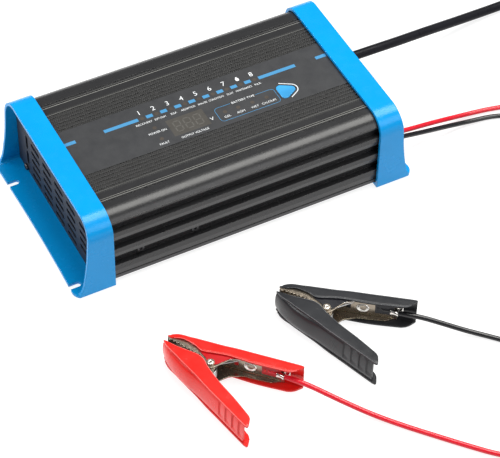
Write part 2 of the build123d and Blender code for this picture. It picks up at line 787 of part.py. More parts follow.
def clamp_pivot(place):
    """Riveted pin through both channels."""
    with BuildPart() as pin:
        with BuildSketch(clamp_plane(place, fixed_plate_z[0])):
            Circle(pivot_pin_r)
        extrude(amount=fixed_plate_z[1] + steel_sheet - fixed_plate_z[0])
        for z in (fixed_plate_z[0] - 1.2, fixed_plate_z[1] + steel_sheet):
            with BuildSketch(clamp_plane(place, z)):
                Circle(3.0)
            extrude(amount=1.2)
    return pin


def clamp_spring(place, web):
    """Torsion spring round the pin, with one leg against the fixed channel's web."""
    with BuildPart() as spring:
        with BuildSketch(clamp_plane(place, 8.5)):
            Circle(5.1)
            Circle(3.9, mode=Mode.SUBTRACT)
        extrude(amount=8.0)
        leg_foot = [between(web[4], web[5], share) for share in (0.6, 0.67)]
        leg = [(-3.2, 3.6), leg_foot[0], leg_foot[1], (-4.4, 2.0)]
        with BuildSketch(clamp_plane(place, 8.5)):
            Polygon(*on_side(leg, -1), align=None)
        extrude(amount=1.2)
    return spring


def clamp_lug(place, web):
    """Crimped lug on the fixed channel; the wire meets its end face."""
    start, end = web[6], between(web[6], web[7], lug_share)
    run = hypot(end[0] - start[0], end[1] - start[1])
    across = (-(end[1] - start[1]) / run * lug_depth, (end[0] - start[0]) / run * lug_depth)
    far_end = (end[0] + across[0], end[1] + across[1])
    far_start = (start[0] + across[0], start[1] + across[1])
    block = [start, end, far_end, far_start]
    with BuildPart() as lug:
        with BuildSketch(clamp_plane(place, 10.0)):
            Polygon(*on_side(block, -1), align=None)
        extrude(amount=5.0)
    wire_start = between(block[1], block[2], 0.5)
    return lug, clamp_point(place, wire_start[0], -wire_start[1], 12.5)


web_outer = inset(cover_outline, cover_sheet)
web_inner = inset(cover_outline, cover_sheet + steel_sheet)
fixed_outer = web_outer[:7] + [between(web_outer[6], web_outer[7], lug_share)]
fixed_inner = web_inner[:7] + [between(web_inner[6], web_inner[7], lug_share)]
fixed_tail = [(-7.3, 5.5), (-9.8, 10.6), (-18.0, 16.4), (-25.7, 18.9), (-38.5, 23.6)]
moving_tail = [(-6.2, 6.4), (-9.2, 10.2), (-21.0, 15.0)]
wire_starts = {}

for colour, place in clamp_places.items():
    lug, wire_starts[colour] = clamp_lug(place, web_inner)
    pieces = {
        "fixed_cover": clamp_cover(place, -1, fixed_outline, fixed_flange),
        "moving_cover": clamp_cover(place, 1, cover_outline, moving_flange),
        "fixed_jaw": clamp_jaw(
            place, -1, fixed_plate_z, fixed_outer, fixed_inner, fixed_tail, pivot_pin_r
        ),
        "moving_jaw": clamp_jaw(
            place, 1, moving_plate_z, web_outer[:6], web_inner[:6], moving_tail,
            pivot_pin_r + pivot_clearance,
        ),
        "pivot": clamp_pivot(place),
        "spring": clamp_spring(place, web_inner),
        "lug": lug,
    }
    for piece_name, piece in pieces.items():
        piece.part.label = f"{colour}_clamp_{piece_name}"
        export_step(piece.part, f"parts/{colour}_clamp_{piece_name}.step")

# ---------------------------------------------------------------- leads
# Mains lead: out of the strain relief, down to the surface, into its coil, and on to the plug.
mains_coil_centre = (352.0, -12.0)
mains_route = [
    mains_exit,
    (177.2, 36.2, 29.0),
    (202.5, 39.2, 25.2),
    (229.2, 44.0, 20.0),
    (256.7, 49.4, 13.6),
    (284.1, 54.3, 8.0),
    (310.6, 57.4, 4.6),
    (334.0, 58.4, 4.1),
    (357.0, 55.0, 4.1),
    (378.0, 45.5, 4.1),
    (393.5, 29.5, 4.1),
    (402.0, 9.0, 4.1),
]
plug_route = [
    (404.2, -14.0, 12.4),
    (405.0, -35.0, 13.4),
    (404.5, -56.0, 16.4),
    (403.0, -78.0, 19.0),
    (403.0, -98.0, 19.0),
]
plug_axis = (403.0, 19.0)
plug_start_y = -98.0
boot_taper = 22.0
plug_length = 36.0
plug_radius = 19.0
pin_length = 19.0

red_route_out = [
    red_exit,
    (145.0, -51.2, 23.2),
    (158.5, -50.0, 19.4),
    (174.9, -47.4, 14.8),
    (191.9, -45.0, 10.0),
    (208.6, -43.3, 5.6),
    (224.3, -43.2, 3.1),
    (241.0, -44.9, 2.1),
    (258.0, -49.2, 2.1),
    (272.5, -58.5, 2.1),
    (281.5, -74.0, 2.1),
    (285.0, -95.0, 2.1),
    (285.6, -119.0, 2.1),
    (283.2, -145.0, 2.1),
    (278.0, -173.0, 2.1),
    (269.5, -203.0, 2.1),
    (258.0, -234.0, 2.1),
    (243.0, -264.0, 2.1),
    (225.0, -292.0, 2.1),
    (206.0, -316.0, 2.1),
    (188.0, -334.0, 2.1),
    (171.5, -348.0, 2.1),
]
red_coil_centre = (150.0, -330.0)
red_route_back = [
    (147.0, -357.6, 6.3),
    (128.0, -359.4, 4.6),
    (108.0, -362.4, 2.3),
    (88.0, -361.6, 2.1),
    (73.0, -356.5, 2.1),
    (62.1, -349.0, 2.1),
    (45.8, -331.7, 2.1),
    (29.7, -313.7, 2.1),
    (13.6, -295.5, 2.1),
    (-2.5, -276.9, 3.5),
    (-18.8, -257.9, 8.0),
    (-34.4, -237.6, 12.0),
    wire_starts["red"],
]
black_route_out = [
    black_exit,
    (145.0, -56.9, 22.8),
    (159.0, -55.4, 18.4),
    (175.0, -53.8, 13.8),
    (191.8, -51.9, 9.0),
    (207.9, -50.9, 5.0),
    (223.2, -51.4, 2.8),
    (237.8, -53.0, 2.1),
    (251.0, -58.0, 2.1),
    (260.5, -68.5, 2.1),
    (265.0, -83.5, 2.1),
    (265.6, -101.0, 2.1),
    (263.8, -121.0, 2.1),
    (262.0, -142.0, 2.1),
]
black_coil_centre = (232.0, -150.0)
black_route_back = [
    (261.2, -153.0, 6.3),
    (259.0, -172.0, 4.6),
    (253.5, -192.0, 2.3),
    (244.5, -216.0, 2.1),
    (231.0, -241.0, 2.1),
    (213.0, -264.0, 2.1),
    (192.0, -281.0, 2.1),
    (170.0, -288.0, 2.1),
    (149.5, -284.5, 2.1),
    (131.0, -271.0, 2.1),
    (115.5, -254.5, 2.1),
    (99.7, -241.2, 4.2),
    (86.0, -230.6, 8.3),
    (72.3, -219.9, 12.0),
    wire_starts["black"],
]

for name, route, diameter in (
    ("mains_lead", mains_route, mains_diameter),
    ("mains_lead_end", plug_route, mains_diameter),
    ("red_lead_out", red_route_out, wire_diameter),
    ("red_lead_back", red_route_back, wire_diameter),
    ("black_lead_out", black_route_out, wire_diameter),
    ("black_lead_back", black_route_back, wire_diameter),
):
    lead = swept_tube(name, route, diameter)
    lead.part.label = name
    export_step(lead.part, f"parts/{name}.step")

for name, coil in (
    ("mains_coil", coil_solid(mains_coil_centre, 31.5, 56.4, 16.6)),
    ("red_coil", coil_solid(red_coil_centre, 16.6, 30.0, 8.4)),
    ("black_coil", coil_solid(black_coil_centre, 16.6, 31.6, 8.4)),
):
    coil.part.label = name
    export_step(coil.part, f"parts/{name}.step")

# ---------------------------------------------------------------- mains plug
# Moulded two-pin plug with side earth contacts, lying on its side.
plug_face_y = plug_start_y - boot_taper - plug_length


def plug_plane(y):
    """Plane across the plug at y, facing its pins."""
    return Plane(origin=(plug_axis[0], y, plug_axis[1]), x_dir=(1, 0, 0), z_dir=(0, -1, 0))


with BuildPart() as mains_plug:
    with BuildSketch(plug_plane(plug_start_y)):
        Circle(mains_diameter / 2)
    with BuildSketch(plug_plane(plug_start_y - boot_taper)):
        Circle(7.5)
    loft()
    with BuildSketch(plug_plane(plug_start_y - boot_taper)):
        Circle(14.0)
    with BuildSketch(plug_plane(plug_start_y - boot_taper - 14.0)):
        Circle(plug_radius)
    loft()
    with BuildSketch(plug_plane(plug_start_y - boot_taper - 14.0)):
        Circle(plug_radius)
        # flats with the earth contacts
        with Locations((0, plug_radius), (0, -plug_radius)):
            Rectangle(9.0, 3.0, mode=Mode.SUBTRACT)
    extrude(amount=plug_length - 14.0)
mains_plug.part.label = "mains_plug"
export_step(mains_plug.part, "parts/mains_plug.step")

with BuildPart() as mains_plug_pins:
    with BuildSketch(plug_plane(plug_face_y)):
        with Locations((9.5, 0), (-9.5, 0)):
            Circle(2.4)
    extrude(amount=pin_length)
    fillet(mains_plug_pins.edges().filter_by(GeomType.CIRCLE).group_by(Axis.Y)[0], 1.6)
mains_plug_pins.part.label = "mains_plug_pins"
export_step(mains_plug_pins.part, "parts/mains_plug_pins.step")

# ---------------------------------------------------------------- wires inside the case
inner_face_x = case_half_length - 2.5
wire_routes = [
    [(inner_face_x, 31.5, 31.5), (114, 31.5, 29), (108, 31.5, 22), (107, 31.5, main_board_top_z)],
    [(inner_face_x, 36.5, 31.5), (114, 36.5, 29), (108, 36.5, 22), (107, 36.5, main_board_top_z)],
    [
        (123.5, red_exit[1], red_exit[2]), (115, -51, 24.5),
        (110, -50.5, 19.5), (109.5, -50.3, main_board_top_z),
    ],
    [
        (123.5, black_exit[1], black_exit[2]), (115, -58, 24.5),
        (110, -58.4, 19.5), (109.5, -58.5, main_board_top_z),
    ],
]
with BuildPart() as internal_wires:
    for route in wire_routes:
        with BuildLine() as wire_path:
            FilletPolyline(*route, radius=2.4)
        wire_line = wire_path.wires()[0]
        with BuildSketch(Plane(origin=wire_line @ 0, z_dir=wire_line % 0)):
            Circle(1.3)
        sweep(path=wire_line)
internal_wires.part.label = "internal_wires"
export_step(internal_wires.part, "parts/internal_wires.step")
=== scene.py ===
import math

import bmesh
import bpy
from mathutils import Matrix, Vector


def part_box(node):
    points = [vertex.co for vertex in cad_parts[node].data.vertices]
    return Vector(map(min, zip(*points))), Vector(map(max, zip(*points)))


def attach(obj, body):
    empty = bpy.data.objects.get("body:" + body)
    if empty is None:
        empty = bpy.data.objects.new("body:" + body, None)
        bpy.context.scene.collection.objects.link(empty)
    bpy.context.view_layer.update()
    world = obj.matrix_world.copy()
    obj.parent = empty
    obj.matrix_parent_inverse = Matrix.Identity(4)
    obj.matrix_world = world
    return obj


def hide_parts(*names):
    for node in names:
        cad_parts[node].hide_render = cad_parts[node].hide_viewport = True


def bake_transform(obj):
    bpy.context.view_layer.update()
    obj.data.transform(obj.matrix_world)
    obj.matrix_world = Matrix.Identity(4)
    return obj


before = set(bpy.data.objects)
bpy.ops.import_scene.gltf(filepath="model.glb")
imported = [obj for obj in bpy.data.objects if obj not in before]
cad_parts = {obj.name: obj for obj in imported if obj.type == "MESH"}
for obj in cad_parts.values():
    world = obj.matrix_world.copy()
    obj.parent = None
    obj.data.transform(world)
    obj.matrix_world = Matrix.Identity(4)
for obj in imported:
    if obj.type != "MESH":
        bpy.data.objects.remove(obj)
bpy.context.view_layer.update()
MM = 0.001

# ------------------------------------------------------------------ materials


def shader(name, colour, rough, metallic=0.0, **sockets):
    """A principled material, with any further sockets set; returns it, its node tree and shader."""
    mat = bpy.data.materials.new(name)
    mat.use_nodes = True
    tree = mat.node_tree
    bsdf = tree.nodes["Principled BSDF"]
    bsdf.inputs["Base Color"].default_value = (*colour, 1.0)
    bsdf.inputs["Roughness"].default_value = rough
    bsdf.inputs["Metallic"].default_value = metallic
    for socket, value in sockets.items():
        bsdf.inputs[socket.replace("_", " ")].default_value = value
    return mat, tree, bsdf


def noise(tree, scale, detail=3.0, stretch=(1.0, 1.0, 1.0)):
    """Noise in the part's own space; stretch below 1 draws it out along that axis."""
    place = tree.nodes.new("ShaderNodeTexCoord")
    mapping = tree.nodes.new("ShaderNodeMapping")
    mapping.inputs["Scale"].default_value = stretch
    texture = tree.nodes.new("ShaderNodeTexNoise")
    texture.inputs["Scale"].default_value = scale
    texture.inputs["Detail"].default_value = detail
    tree.links.new(place.outputs["Object"], mapping.inputs["Vector"])
    tree.links.new(mapping.outputs["Vector"], texture.inputs["Vector"])
    return texture.outputs["Fac"]


# nearly all of a noise texture's values lie between these two
NOISE_LOW, NOISE_HIGH = 0.3, 0.7


def vary_colour(tree, bsdf, factor, dark, light):
    shades = tree.nodes.new("ShaderNodeValToRGB")
    shades.color_ramp.elements[0].position = NOISE_LOW
    shades.color_ramp.elements[1].position = NOISE_HIGH
    shades.color_ramp.elements[0].color = (*dark, 1.0)
    shades.color_ramp.elements[1].color = (*light, 1.0)
    tree.links.new(factor, shades.inputs["Fac"])
    tree.links.new(shades.outputs["Color"], bsdf.inputs["Base Color"])


def vary_roughness(tree, bsdf, factor, low, high):
    span = tree.nodes.new("ShaderNodeMapRange")
    span.inputs["From Min"].default_value = NOISE_LOW
    span.inputs["From Max"].default_value = NOISE_HIGH
    span.inputs["To Min"].default_value = low
    span.inputs["To Max"].default_value = high
    tree.links.new(factor, span.inputs["Value"])
    tree.links.new(span.outputs["Result"], bsdf.inputs["Roughness"])


def relief(tree, bsdf, factor, strength, height, edge):
    """Surface relief from factor, on edges that are rounded by the radius edge."""
    bump = tree.nodes.new("ShaderNodeBump")
    bump.inputs["Strength"].default_value = strength
    bump.inputs["Distance"].default_value = height
    tree.links.new(factor, bump.inputs["Height"])
    if edge:
        rounding = tree.nodes.new("ShaderNodeBevel")
        rounding.samples = 6
        rounding.inputs["Radius"].default_value = edge
        tree.links.new(rounding.outputs["Normal"], bump.inputs["Normal"])
    tree.links.new(bump.outputs["Normal"], bsdf.inputs["Normal"])


def tint(colour, amount):
    return tuple(min(1.0, c * amount) for c in colour)


def moulded(name, colour, rough, grain, edge, spread, **sockets):
    """Moulded plastic or rubber: fine grain, slightly uneven colour and gloss."""
    mat, tree, bsdf = shader(name, colour, rough, **sockets)
    vary_colour(tree, bsdf, noise(tree, 35.0), tint(colour, 1 - spread), tint(colour, 1 + spread))
    vary_roughness(tree, bsdf, noise(tree, 120.0), rough - 0.05, rough + 0.06)
    relief(tree, bsdf, noise(tree, 2600.0, 2.0), grain, height=0.00006, edge=edge)
    return mat


def metal(name, colour, rough, drawn=(1.0, 1.0, 1.0), metallic=1.0, lines=0.05):
    """Bare or plated metal with fine lines along the direction it was drawn."""
    mat, tree, bsdf = shader(name, colour, rough, metallic)
    vary_colour(tree, bsdf, noise(tree, 110.0, 2.0, drawn), tint(colour, 0.88), tint(colour, 1.06))
    vary_roughness(tree, bsdf, noise(tree, 300.0, 2.0, drawn), rough - 0.05, rough + 0.08)
    relief(tree, bsdf, noise(tree, 1800.0, 2.0, drawn), lines, height=0.00002, edge=0.0002)
    return mat


# the two ribbed zones on the case's top: distance of their middles from y = 0, half their width
RIB_ZONE_MIDDLE = 36.1 * MM
RIB_ZONE_HALF_WIDTH = 11.0 * MM


def ribbed_paint():
    """Matt black paint on the extrusion; the ribbed zones carry a fine slanting cut."""
    mat, tree, bsdf = shader("case_paint", (0.022, 0.022, 0.024), 0.36, Specular_IOR_Level=0.40)
    place = tree.nodes.new("ShaderNodeTexCoord")
    mapping = tree.nodes.new("ShaderNodeMapping")
    mapping.inputs["Rotation"].default_value = (0.0, 0.0, math.radians(35))
    wave = tree.nodes.new("ShaderNodeTexWave")
    wave.inputs["Scale"].default_value = 210.0
    wave.inputs["Distortion"].default_value = 0.6
    tree.links.new(place.outputs["Object"], mapping.inputs["Vector"])
    tree.links.new(mapping.outputs["Vector"], wave.inputs["Vector"])
    axes = tree.nodes.new("ShaderNodeSeparateXYZ")
    tree.links.new(place.outputs["Object"], axes.inputs["Vector"])
    side = tree.nodes.new("ShaderNodeMath")
    side.operation = "ABSOLUTE"
    tree.links.new(axes.outputs["Y"], side.inputs[0])
    zone = tree.nodes.new("ShaderNodeMath")
    zone.operation = "COMPARE"
    zone.inputs[1].default_value = RIB_ZONE_MIDDLE
    zone.inputs[2].default_value = RIB_ZONE_HALF_WIDTH
    tree.links.new(side.outputs["Value"], zone.inputs[0])
    cut = tree.nodes.new("ShaderNodeMath")
    cut.operation = "MULTIPLY"
    tree.links.new(wave.outputs["Fac"], cut.inputs[0])
    tree.links.new(zone.outputs["Value"], cut.inputs[1])
    vary = tree.nodes.new("ShaderNodeValToRGB")
    vary.color_ramp.elements[0].color = (0.018, 0.018, 0.0195, 1.0)
    vary.color_ramp.elements[1].color = (0.044, 0.044, 0.043, 1.0)
    grain = tree.nodes.new("ShaderNodeMath")
    grain.operation = "MULTIPLY_ADD"
    grain.inputs[1].default_value = 0.16
    tree.links.new(noise(tree, 1500.0, 2.0), grain.inputs[0])
    tree.links.new(cut.outputs["Value"], grain.inputs[2])
    tree.links.new(grain.outputs["Value"], vary.inputs["Fac"])
    tree.links.new(vary.outputs["Color"], bsdf.inputs["Base Color"])
    vary_roughness(tree, bsdf, noise(tree, 90.0), 0.25, 0.31)
    relief(tree, bsdf, grain.outputs["Value"], 0.35, height=0.00008, edge=0.0004)
    return mat


case_paint = ribbed_paint()

# moulded(name, colour, roughness, grain, edge radius in metres, colour spread)
blue_plastic = moulded(
    "blue_plastic", (0.0, 0.275, 0.66), 0.24, 0.08, 0.0009, 0.03,
    Specular_IOR_Level=0.35, Specular_Tint=(0.75, 0.93, 1.0, 1.0),
)
plate_plastic = moulded(
    "plate_plastic", (0.018, 0.022, 0.034), 0.5, 0.35, 0.0004, 0.1, Specular_IOR_Level=0.3,
)
label_print = moulded("label_print", (0.030, 0.031, 0.034), 0.40, 0.15, 0.0, 0.04)
print_blue = moulded("print_blue", (0.042, 0.225, 0.44), 0.5, 0.1, 0.0, 0.03)
print_white = moulded("print_white", (0.72, 0.74, 0.76), 0.5, 0.1, 0.0, 0.03)
window_tint = moulded("window_tint", (0.060, 0.056, 0.050), 0.3, 0.08, 0.0, 0.06)
segment_dim = moulded("segment_dim", (0.088, 0.084, 0.076), 0.4, 0.05, 0.0, 0.05)
lamp_clear = moulded("lamp_clear", (0.060, 0.050, 0.042), 0.3, 0.05, 0.0001, 0.1)
key_blue = moulded("key_blue", (0.030, 0.27, 0.56), 0.34, 0.12, 0.0006, 0.22)
base_steel = moulded("base_steel", (0.04, 0.04, 0.043), 0.4, 0.4, 0.0003, 0.1)
clamp_red = moulded(
    "clamp_red", (0.76, 0.018, 0.014), 0.22, 0.04, 0.0006, 0.03,
    Specular_IOR_Level=0.42, Specular_Tint=(1.0, 0.7, 0.65, 1.0),
)
clamp_black = moulded(
    "clamp_black", (0.028, 0.029, 0.032), 0.22, 0.04, 0.0006, 0.1, Specular_IOR_Level=0.22,
)
# lighter copies of the clamp plastics, for the beads along the covers' edges: painted highlight
highlight_red = moulded("highlight_red", (0.95, 0.13, 0.12), 0.3, 0.1, 0.0, 0.12)
highlight_black = moulded("highlight_black", (0.085, 0.088, 0.095), 0.3, 0.1, 0.0, 0.2)
# darker copies of the clamp plastics, for the ledges and pieces lower down: painted shade
shaded_red = moulded(
    "shaded_red", (0.46, 0.004, 0.008), 0.3, 0.04, 0.0004, 0.05, Specular_IOR_Level=0.3,
)
shaded_black = moulded(
    "shaded_black", (0.010, 0.010, 0.014), 0.3, 0.04, 0.0004, 0.1, Specular_IOR_Level=0.3,
)
mains_rubber = moulded(
    "mains_rubber", (0.012, 0.012, 0.015), 0.3, 0.3, 0.0003, 0.15, Specular_IOR_Level=0.08,
)
wire_black = moulded("wire_black", (0.010, 0.010, 0.012), 0.2, 0.2, 0.0, 0.12)
wire_red = moulded("wire_red", (0.66, 0.010, 0.025), 0.26, 0.2, 0.0, 0.06)
tie_black = moulded("tie_black", (0.03, 0.03, 0.03), 0.5, 0.2, 0.0, 0.1)
# lighter colours for thin strips on the case's top: painted highlights
highlight_strong = moulded("highlight_strong", (0.26, 0.26, 0.245), 0.35, 0.1, 0.0, 0.15)
highlight_soft = moulded("highlight_soft", (0.10, 0.10, 0.095), 0.4, 0.2, 0.0, 0.3)
solder_mask = moulded("solder_mask", (0.01, 0.12, 0.05), 0.35, 0.3, 0.0, 0.2)
ferrite = moulded("ferrite", (0.05, 0.05, 0.055), 0.6, 0.5, 0.0003, 0.2)
sleeve_black = moulded("sleeve_black", (0.02, 0.02, 0.05), 0.3, 0.1, 0.0005, 0.1)
chip_black = moulded("chip_black", (0.025, 0.025, 0.025), 0.55, 0.4, 0.0002, 0.1)
fuse_glass, *_ = shader("fuse_glass", (0.85, 0.88, 0.88), 0.08, Transmission_Weight=0.8)

# metal(name, colour, roughness)
screw_black = metal("screw_black", (0.09, 0.09, 0.095), 0.35)
zinc = metal("zinc", (0.42, 0.43, 0.45), 0.38)
jaw_steel = metal("jaw_steel", (0.40, 0.34, 0.27), 0.21, metallic=0.85, lines=0.0)
spring_steel = metal("spring_steel", (0.5, 0.5, 0.5), 0.3)
bright_metal_and_highlight = metal("bright_metal_and_highlight", (0.80, 0.78, 0.74), 0.2)
bend_steel = metal("bend_steel", (0.42, 0.37, 0.25), 0.25)
copper = metal("copper", (0.72, 0.32, 0.14), 0.35, drawn=(0.2, 1.0, 1.0))
bar_metal = metal("bar_metal", (0.7, 0.7, 0.72), 0.4)
nickel = metal("nickel", (0.75, 0.73, 0.68), 0.18)

node_materials = {
    blue_plastic: ["left_end_frame", "right_end_frame"],
    case_paint: ["case_extrusion"],
    base_steel: ["base_plate"],
    plate_plastic: ["left_end_plate", "right_end_plate", "fan_frame", "fan_rotor"],
    screw_black: ["left_end_screws", "right_end_screws", "side_screws"],
    zinc: ["base_screws", "board_spacers"],
    label_print: ["label_overlay"],
    window_tint: ["display_window"],
    lamp_clear: ["light_pipes", "indicator_leds"],
    key_blue: ["mode_button"],
    chip_black: ["mode_switch", "digit_display", "power_transistors"],
    solder_mask: ["display_board", "main_board"],
    ferrite: ["transformer_core"],
    copper: ["transformer_winding", "line_choke", "output_choke"],
    sleeve_black: ["input_capacitors", "output_capacitors"],
    bar_metal: ["heat_bars"],
    fuse_glass: ["fuse"],
    wire_black: ["display_cable", "internal_wires"],
    mains_rubber: ["mains_strain_relief", "wire_grommets", "mains_plug"],
    nickel: ["mains_plug_pins"],
    jaw_steel: [
        f"{c}_clamp_{p}" for c in ("red", "black") for p in ("fixed_jaw", "moving_jaw", "pivot", "lug")
    ],
    clamp_red: ["red_clamp_fixed_cover", "red_clamp_moving_cover"],
    clamp_black: ["black_clamp_fixed_cover", "black_clamp_moving_cover"],
}
for mat, nodes in node_materials.items():
    for node in nodes:
        for slot in bpy.data.objects[node].material_slots:
            slot.material = mat

# ------------------------------------------------------------------ mesh helpers


def ramp(value, low, high):
    """0 below low, 1 above high, smooth between."""
    t = min(1.0, max(0.0, (value - low) / (high - low)))
    return t * t * (3 - 2 * t)


def add_mesh(name, verts, faces, mat, body="charger", smooth=False):
    mesh = bpy.data.meshes.new(name)
    mesh.from_pydata([tuple(v) for v in verts], [], faces)
    mesh.validate()
    mesh.update()
    mesh.materials.append(mat)
    for polygon in mesh.polygons:
        polygon.use_smooth = smooth
    piece = bpy.data.objects.new(name, mesh)
    bpy.context.scene.collection.objects.link(piece)
    if body:
        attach(piece, body)
    return piece


def ring_faces(rings, sides):
    """Quads between neighbouring closed rings of points."""
    faces = []
    for i in range(rings - 1):
        for k in range(sides):
            j = (k + 1) % sides
            faces.append((i * sides + k, i * sides + j, (i + 1) * sides + j, (i + 1) * sides + k))
    return faces


def end_caps(rings, sides):
    """The faces that close the first and the last ring."""
    last = (rings - 1) * sides
    return [tuple(range(sides))[::-1], tuple(last + k for k in range(sides))]


def tube_mesh(points, radius, sides):
    """Vertices and faces of a round tube along points, closed at both ends."""
    verts = []
    side_axis = Vector((0, 0, 1))
    for i, p in enumerate(points):
        ahead = points[min(i + 1, len(points) - 1)] - points[max(i - 1, 0)]
        along = ahead.normalized()
        across = along.cross(side_axis)
        if across.length < 0.1:
            across = along.cross(Vector((1, 0, 0)))
        across.normalize()
        up = across.cross(along)
        for k in range(sides):
            a = 2 * math.pi * k / sides
            verts.append(p + radius * (math.cos(a) * across + math.sin(a) * up))
    return verts, ring_faces(len(points), sides) + end_caps(len(points), sides)


def lathe(name, profile, origin, axis, mat, sides=48):
    """Solid of revolution; profile is (distance along axis, radius) in millimetres."""
    turn = Vector((0, 0, 1)).rotation_difference(Vector(axis)).to_matrix()
    verts = []
    for along, radius in profile:
        for k in range(sides):
            a = 2 * math.pi * k / sides
            local = Vector((radius * math.cos(a), radius * math.sin(a), along)) * MM
            verts.append(Vector(origin) + turn @ local)
    faces = ring_faces(len(profile), sides) + end_caps(len(profile), sides)
    return add_mesh(name, verts, faces, mat, smooth=True)


# ------------------------------------------------------------------ camera
# solved from the case's own edges in the photograph
PHOTO_WIDTH = 500.0
FOCAL_PIXELS = 2128.47
SENSOR_WIDTH = 36.0
azimuth, elevation, roll = math.radians(-28.17), math.radians(47.81), math.radians(1.18)
camera_place = Vector((37.22, -47.70, 1713.18)) * MM
back = Vector((
    math.sin(azimuth) * math.cos(elevation),
    -math.cos(azimuth) * math.cos(elevation),
    math.sin(elevation),
))
level_right = Vector((0, 0, 1)).cross(back).normalized()
level_up = back.cross(level_right)
right = level_right * math.cos(roll) + level_up * math.sin(roll)
up = level_up * math.cos(roll) - level_right * math.sin(roll)
turn = Matrix((right, up, back)).transposed()
camera_data = bpy.data.cameras.new("camera")
camera_data.lens = SENSOR_WIDTH * FOCAL_PIXELS / PHOTO_WIDTH
camera_data.sensor_width = SENSOR_WIDTH
camera_data.clip_start = 0.05
camera = bpy.data.objects.new("camera", camera_data)
camera.matrix_world = Matrix.Translation(turn @ camera_place) @ turn.to_4x4()
bpy.context.scene.collection.objects.link(camera)
bpy.context.scene.camera = camera

# ------------------------------------------------------------------ leads
# Route points in metres, from each lead's outlet to its coil and from the coil to its far end.
mains_route = [
    (0.1520, 0.0350, 0.0307), (0.1772, 0.0362, 0.0290), (0.2025, 0.0392, 0.0252),
    (0.2292, 0.0440, 0.0200), (0.2567, 0.0494, 0.0136), (0.2841, 0.0543, 0.0080),
    (0.3106, 0.0574, 0.0046), (0.3340, 0.0584, 0.0041), (0.3570, 0.0550, 0.0041),
    (0.3780, 0.0455, 0.0041), (0.3935, 0.0295, 0.0041), (0.4020, 0.0090, 0.0041),
]
plug_route = [
    (0.4042, -0.0140, 0.0124), (0.4050, -0.0350, 0.0134), (0.4045, -0.0560, 0.0164),
    (0.4030, -0.0780, 0.0190), (0.4030, -0.0980, 0.0190),
]
red_route_out = [
    (0.1315, -0.0515, 0.0260), (0.1450, -0.0512, 0.0232), (0.1585, -0.0500, 0.0194),
    (0.1749, -0.0474, 0.0148), (0.1919, -0.0450, 0.0100), (0.2086, -0.0433, 0.0056),
    (0.2243, -0.0432, 0.0031), (0.2410, -0.0449, 0.0021), (0.2580, -0.0492, 0.0021),
    (0.2725, -0.0585, 0.0021), (0.2815, -0.0740, 0.0021), (0.2850, -0.0950, 0.0021),
    (0.2856, -0.1190, 0.0021), (0.2832, -0.1450, 0.0021), (0.2780, -0.1730, 0.0021),
    (0.2695, -0.2030, 0.0021), (0.2580, -0.2340, 0.0021), (0.2430, -0.2640, 0.0021),
    (0.2250, -0.2920, 0.0021), (0.2060, -0.3160, 0.0021), (0.1880, -0.3340, 0.0021),
    (0.1715, -0.3480, 0.0021),
]
red_route_back = [
    (0.1470, -0.3576, 0.0063), (0.1280, -0.3594, 0.0046), (0.1080, -0.3624, 0.0023),
    (0.0880, -0.3616, 0.0021), (0.0730, -0.3565, 0.0021), (0.0621, -0.3490, 0.0021),
    (0.0458, -0.3317, 0.0021), (0.0297, -0.3137, 0.0021), (0.0136, -0.2955, 0.0021),
    (-0.0025, -0.2769, 0.0035), (-0.0188, -0.2579, 0.0080), (-0.0344, -0.2376, 0.0120),
]
black_route_out = [
    (0.1315, -0.0578, 0.0260), (0.1450, -0.0569, 0.0228), (0.1590, -0.0554, 0.0184),
    (0.1750, -0.0538, 0.0138), (0.1918, -0.0519, 0.0090), (0.2079, -0.0509, 0.0050),
    (0.2232, -0.0514, 0.0028), (0.2378, -0.0530, 0.0021), (0.2510, -0.0580, 0.0021),
    (0.2605, -0.0685, 0.0021), (0.2650, -0.0835, 0.0021), (0.2656, -0.1010, 0.0021),
    (0.2638, -0.1210, 0.0021), (0.2620, -0.1420, 0.0021),
]
black_route_back = [
    (0.2612, -0.1530, 0.0063), (0.2590, -0.1720, 0.0046), (0.2535, -0.1920, 0.0023),
    (0.2445, -0.2160, 0.0021), (0.2310, -0.2410, 0.0021), (0.2130, -0.2640, 0.0021),
    (0.1920, -0.2810, 0.0021), (0.1700, -0.2880, 0.0021), (0.1495, -0.2845, 0.0021),
    (0.1310, -0.2710, 0.0021), (0.1155, -0.2545, 0.0021), (0.0997, -0.2412, 0.0042),
    (0.0860, -0.2306, 0.0083), (0.0723, -0.2199, 0.0120),
]


def coil_points(centre, start, end, outer, inner, heights):
    """Turns wound inward on the surface, then outward on top of them, clockwise."""
    per_turn = 16
    steps = round((start - end) / 360 * per_turn)
    cut_corner = math.cos(math.pi / per_turn)  # the spline runs inside its points by this factor
    points = []
    for i in range(steps + 1):
        share = i / steps
        a = math.radians(start + (end - start) * share)
        r = (inner + (outer - inner) * abs(1 - 2 * share)) / cut_corner
        z = heights[0] + (heights[1] - heights[0]) * ramp(share, 0.44, 0.56)
        points.append((centre[0] + r * math.cos(a), centre[1] + r * math.sin(a), z))
    return points


def cord_curve(name, points, diameter, mat, nodes):
    curve = bpy.data.curves.new(name, "CURVE")
    curve.dimensions = "3D"
    spline = curve.splines.new("NURBS")
    spline.points.add(len(points) - 1)
    for point, place in zip(spline.points, points):
        point.co = (*place, 1.0)
    spline.order_u = 3
    spline.use_endpoint_u = True
    spline.resolution_u = 6
    curve.bevel_depth = diameter / 2
    curve.bevel_resolution = 5
    curve.use_fill_caps = True
    curve.materials.append(mat)
    piece = bpy.data.objects.new(name, curve)
    bpy.context.scene.collection.objects.link(piece)
    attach(piece, "charger")
    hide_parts(*nodes)
    return piece


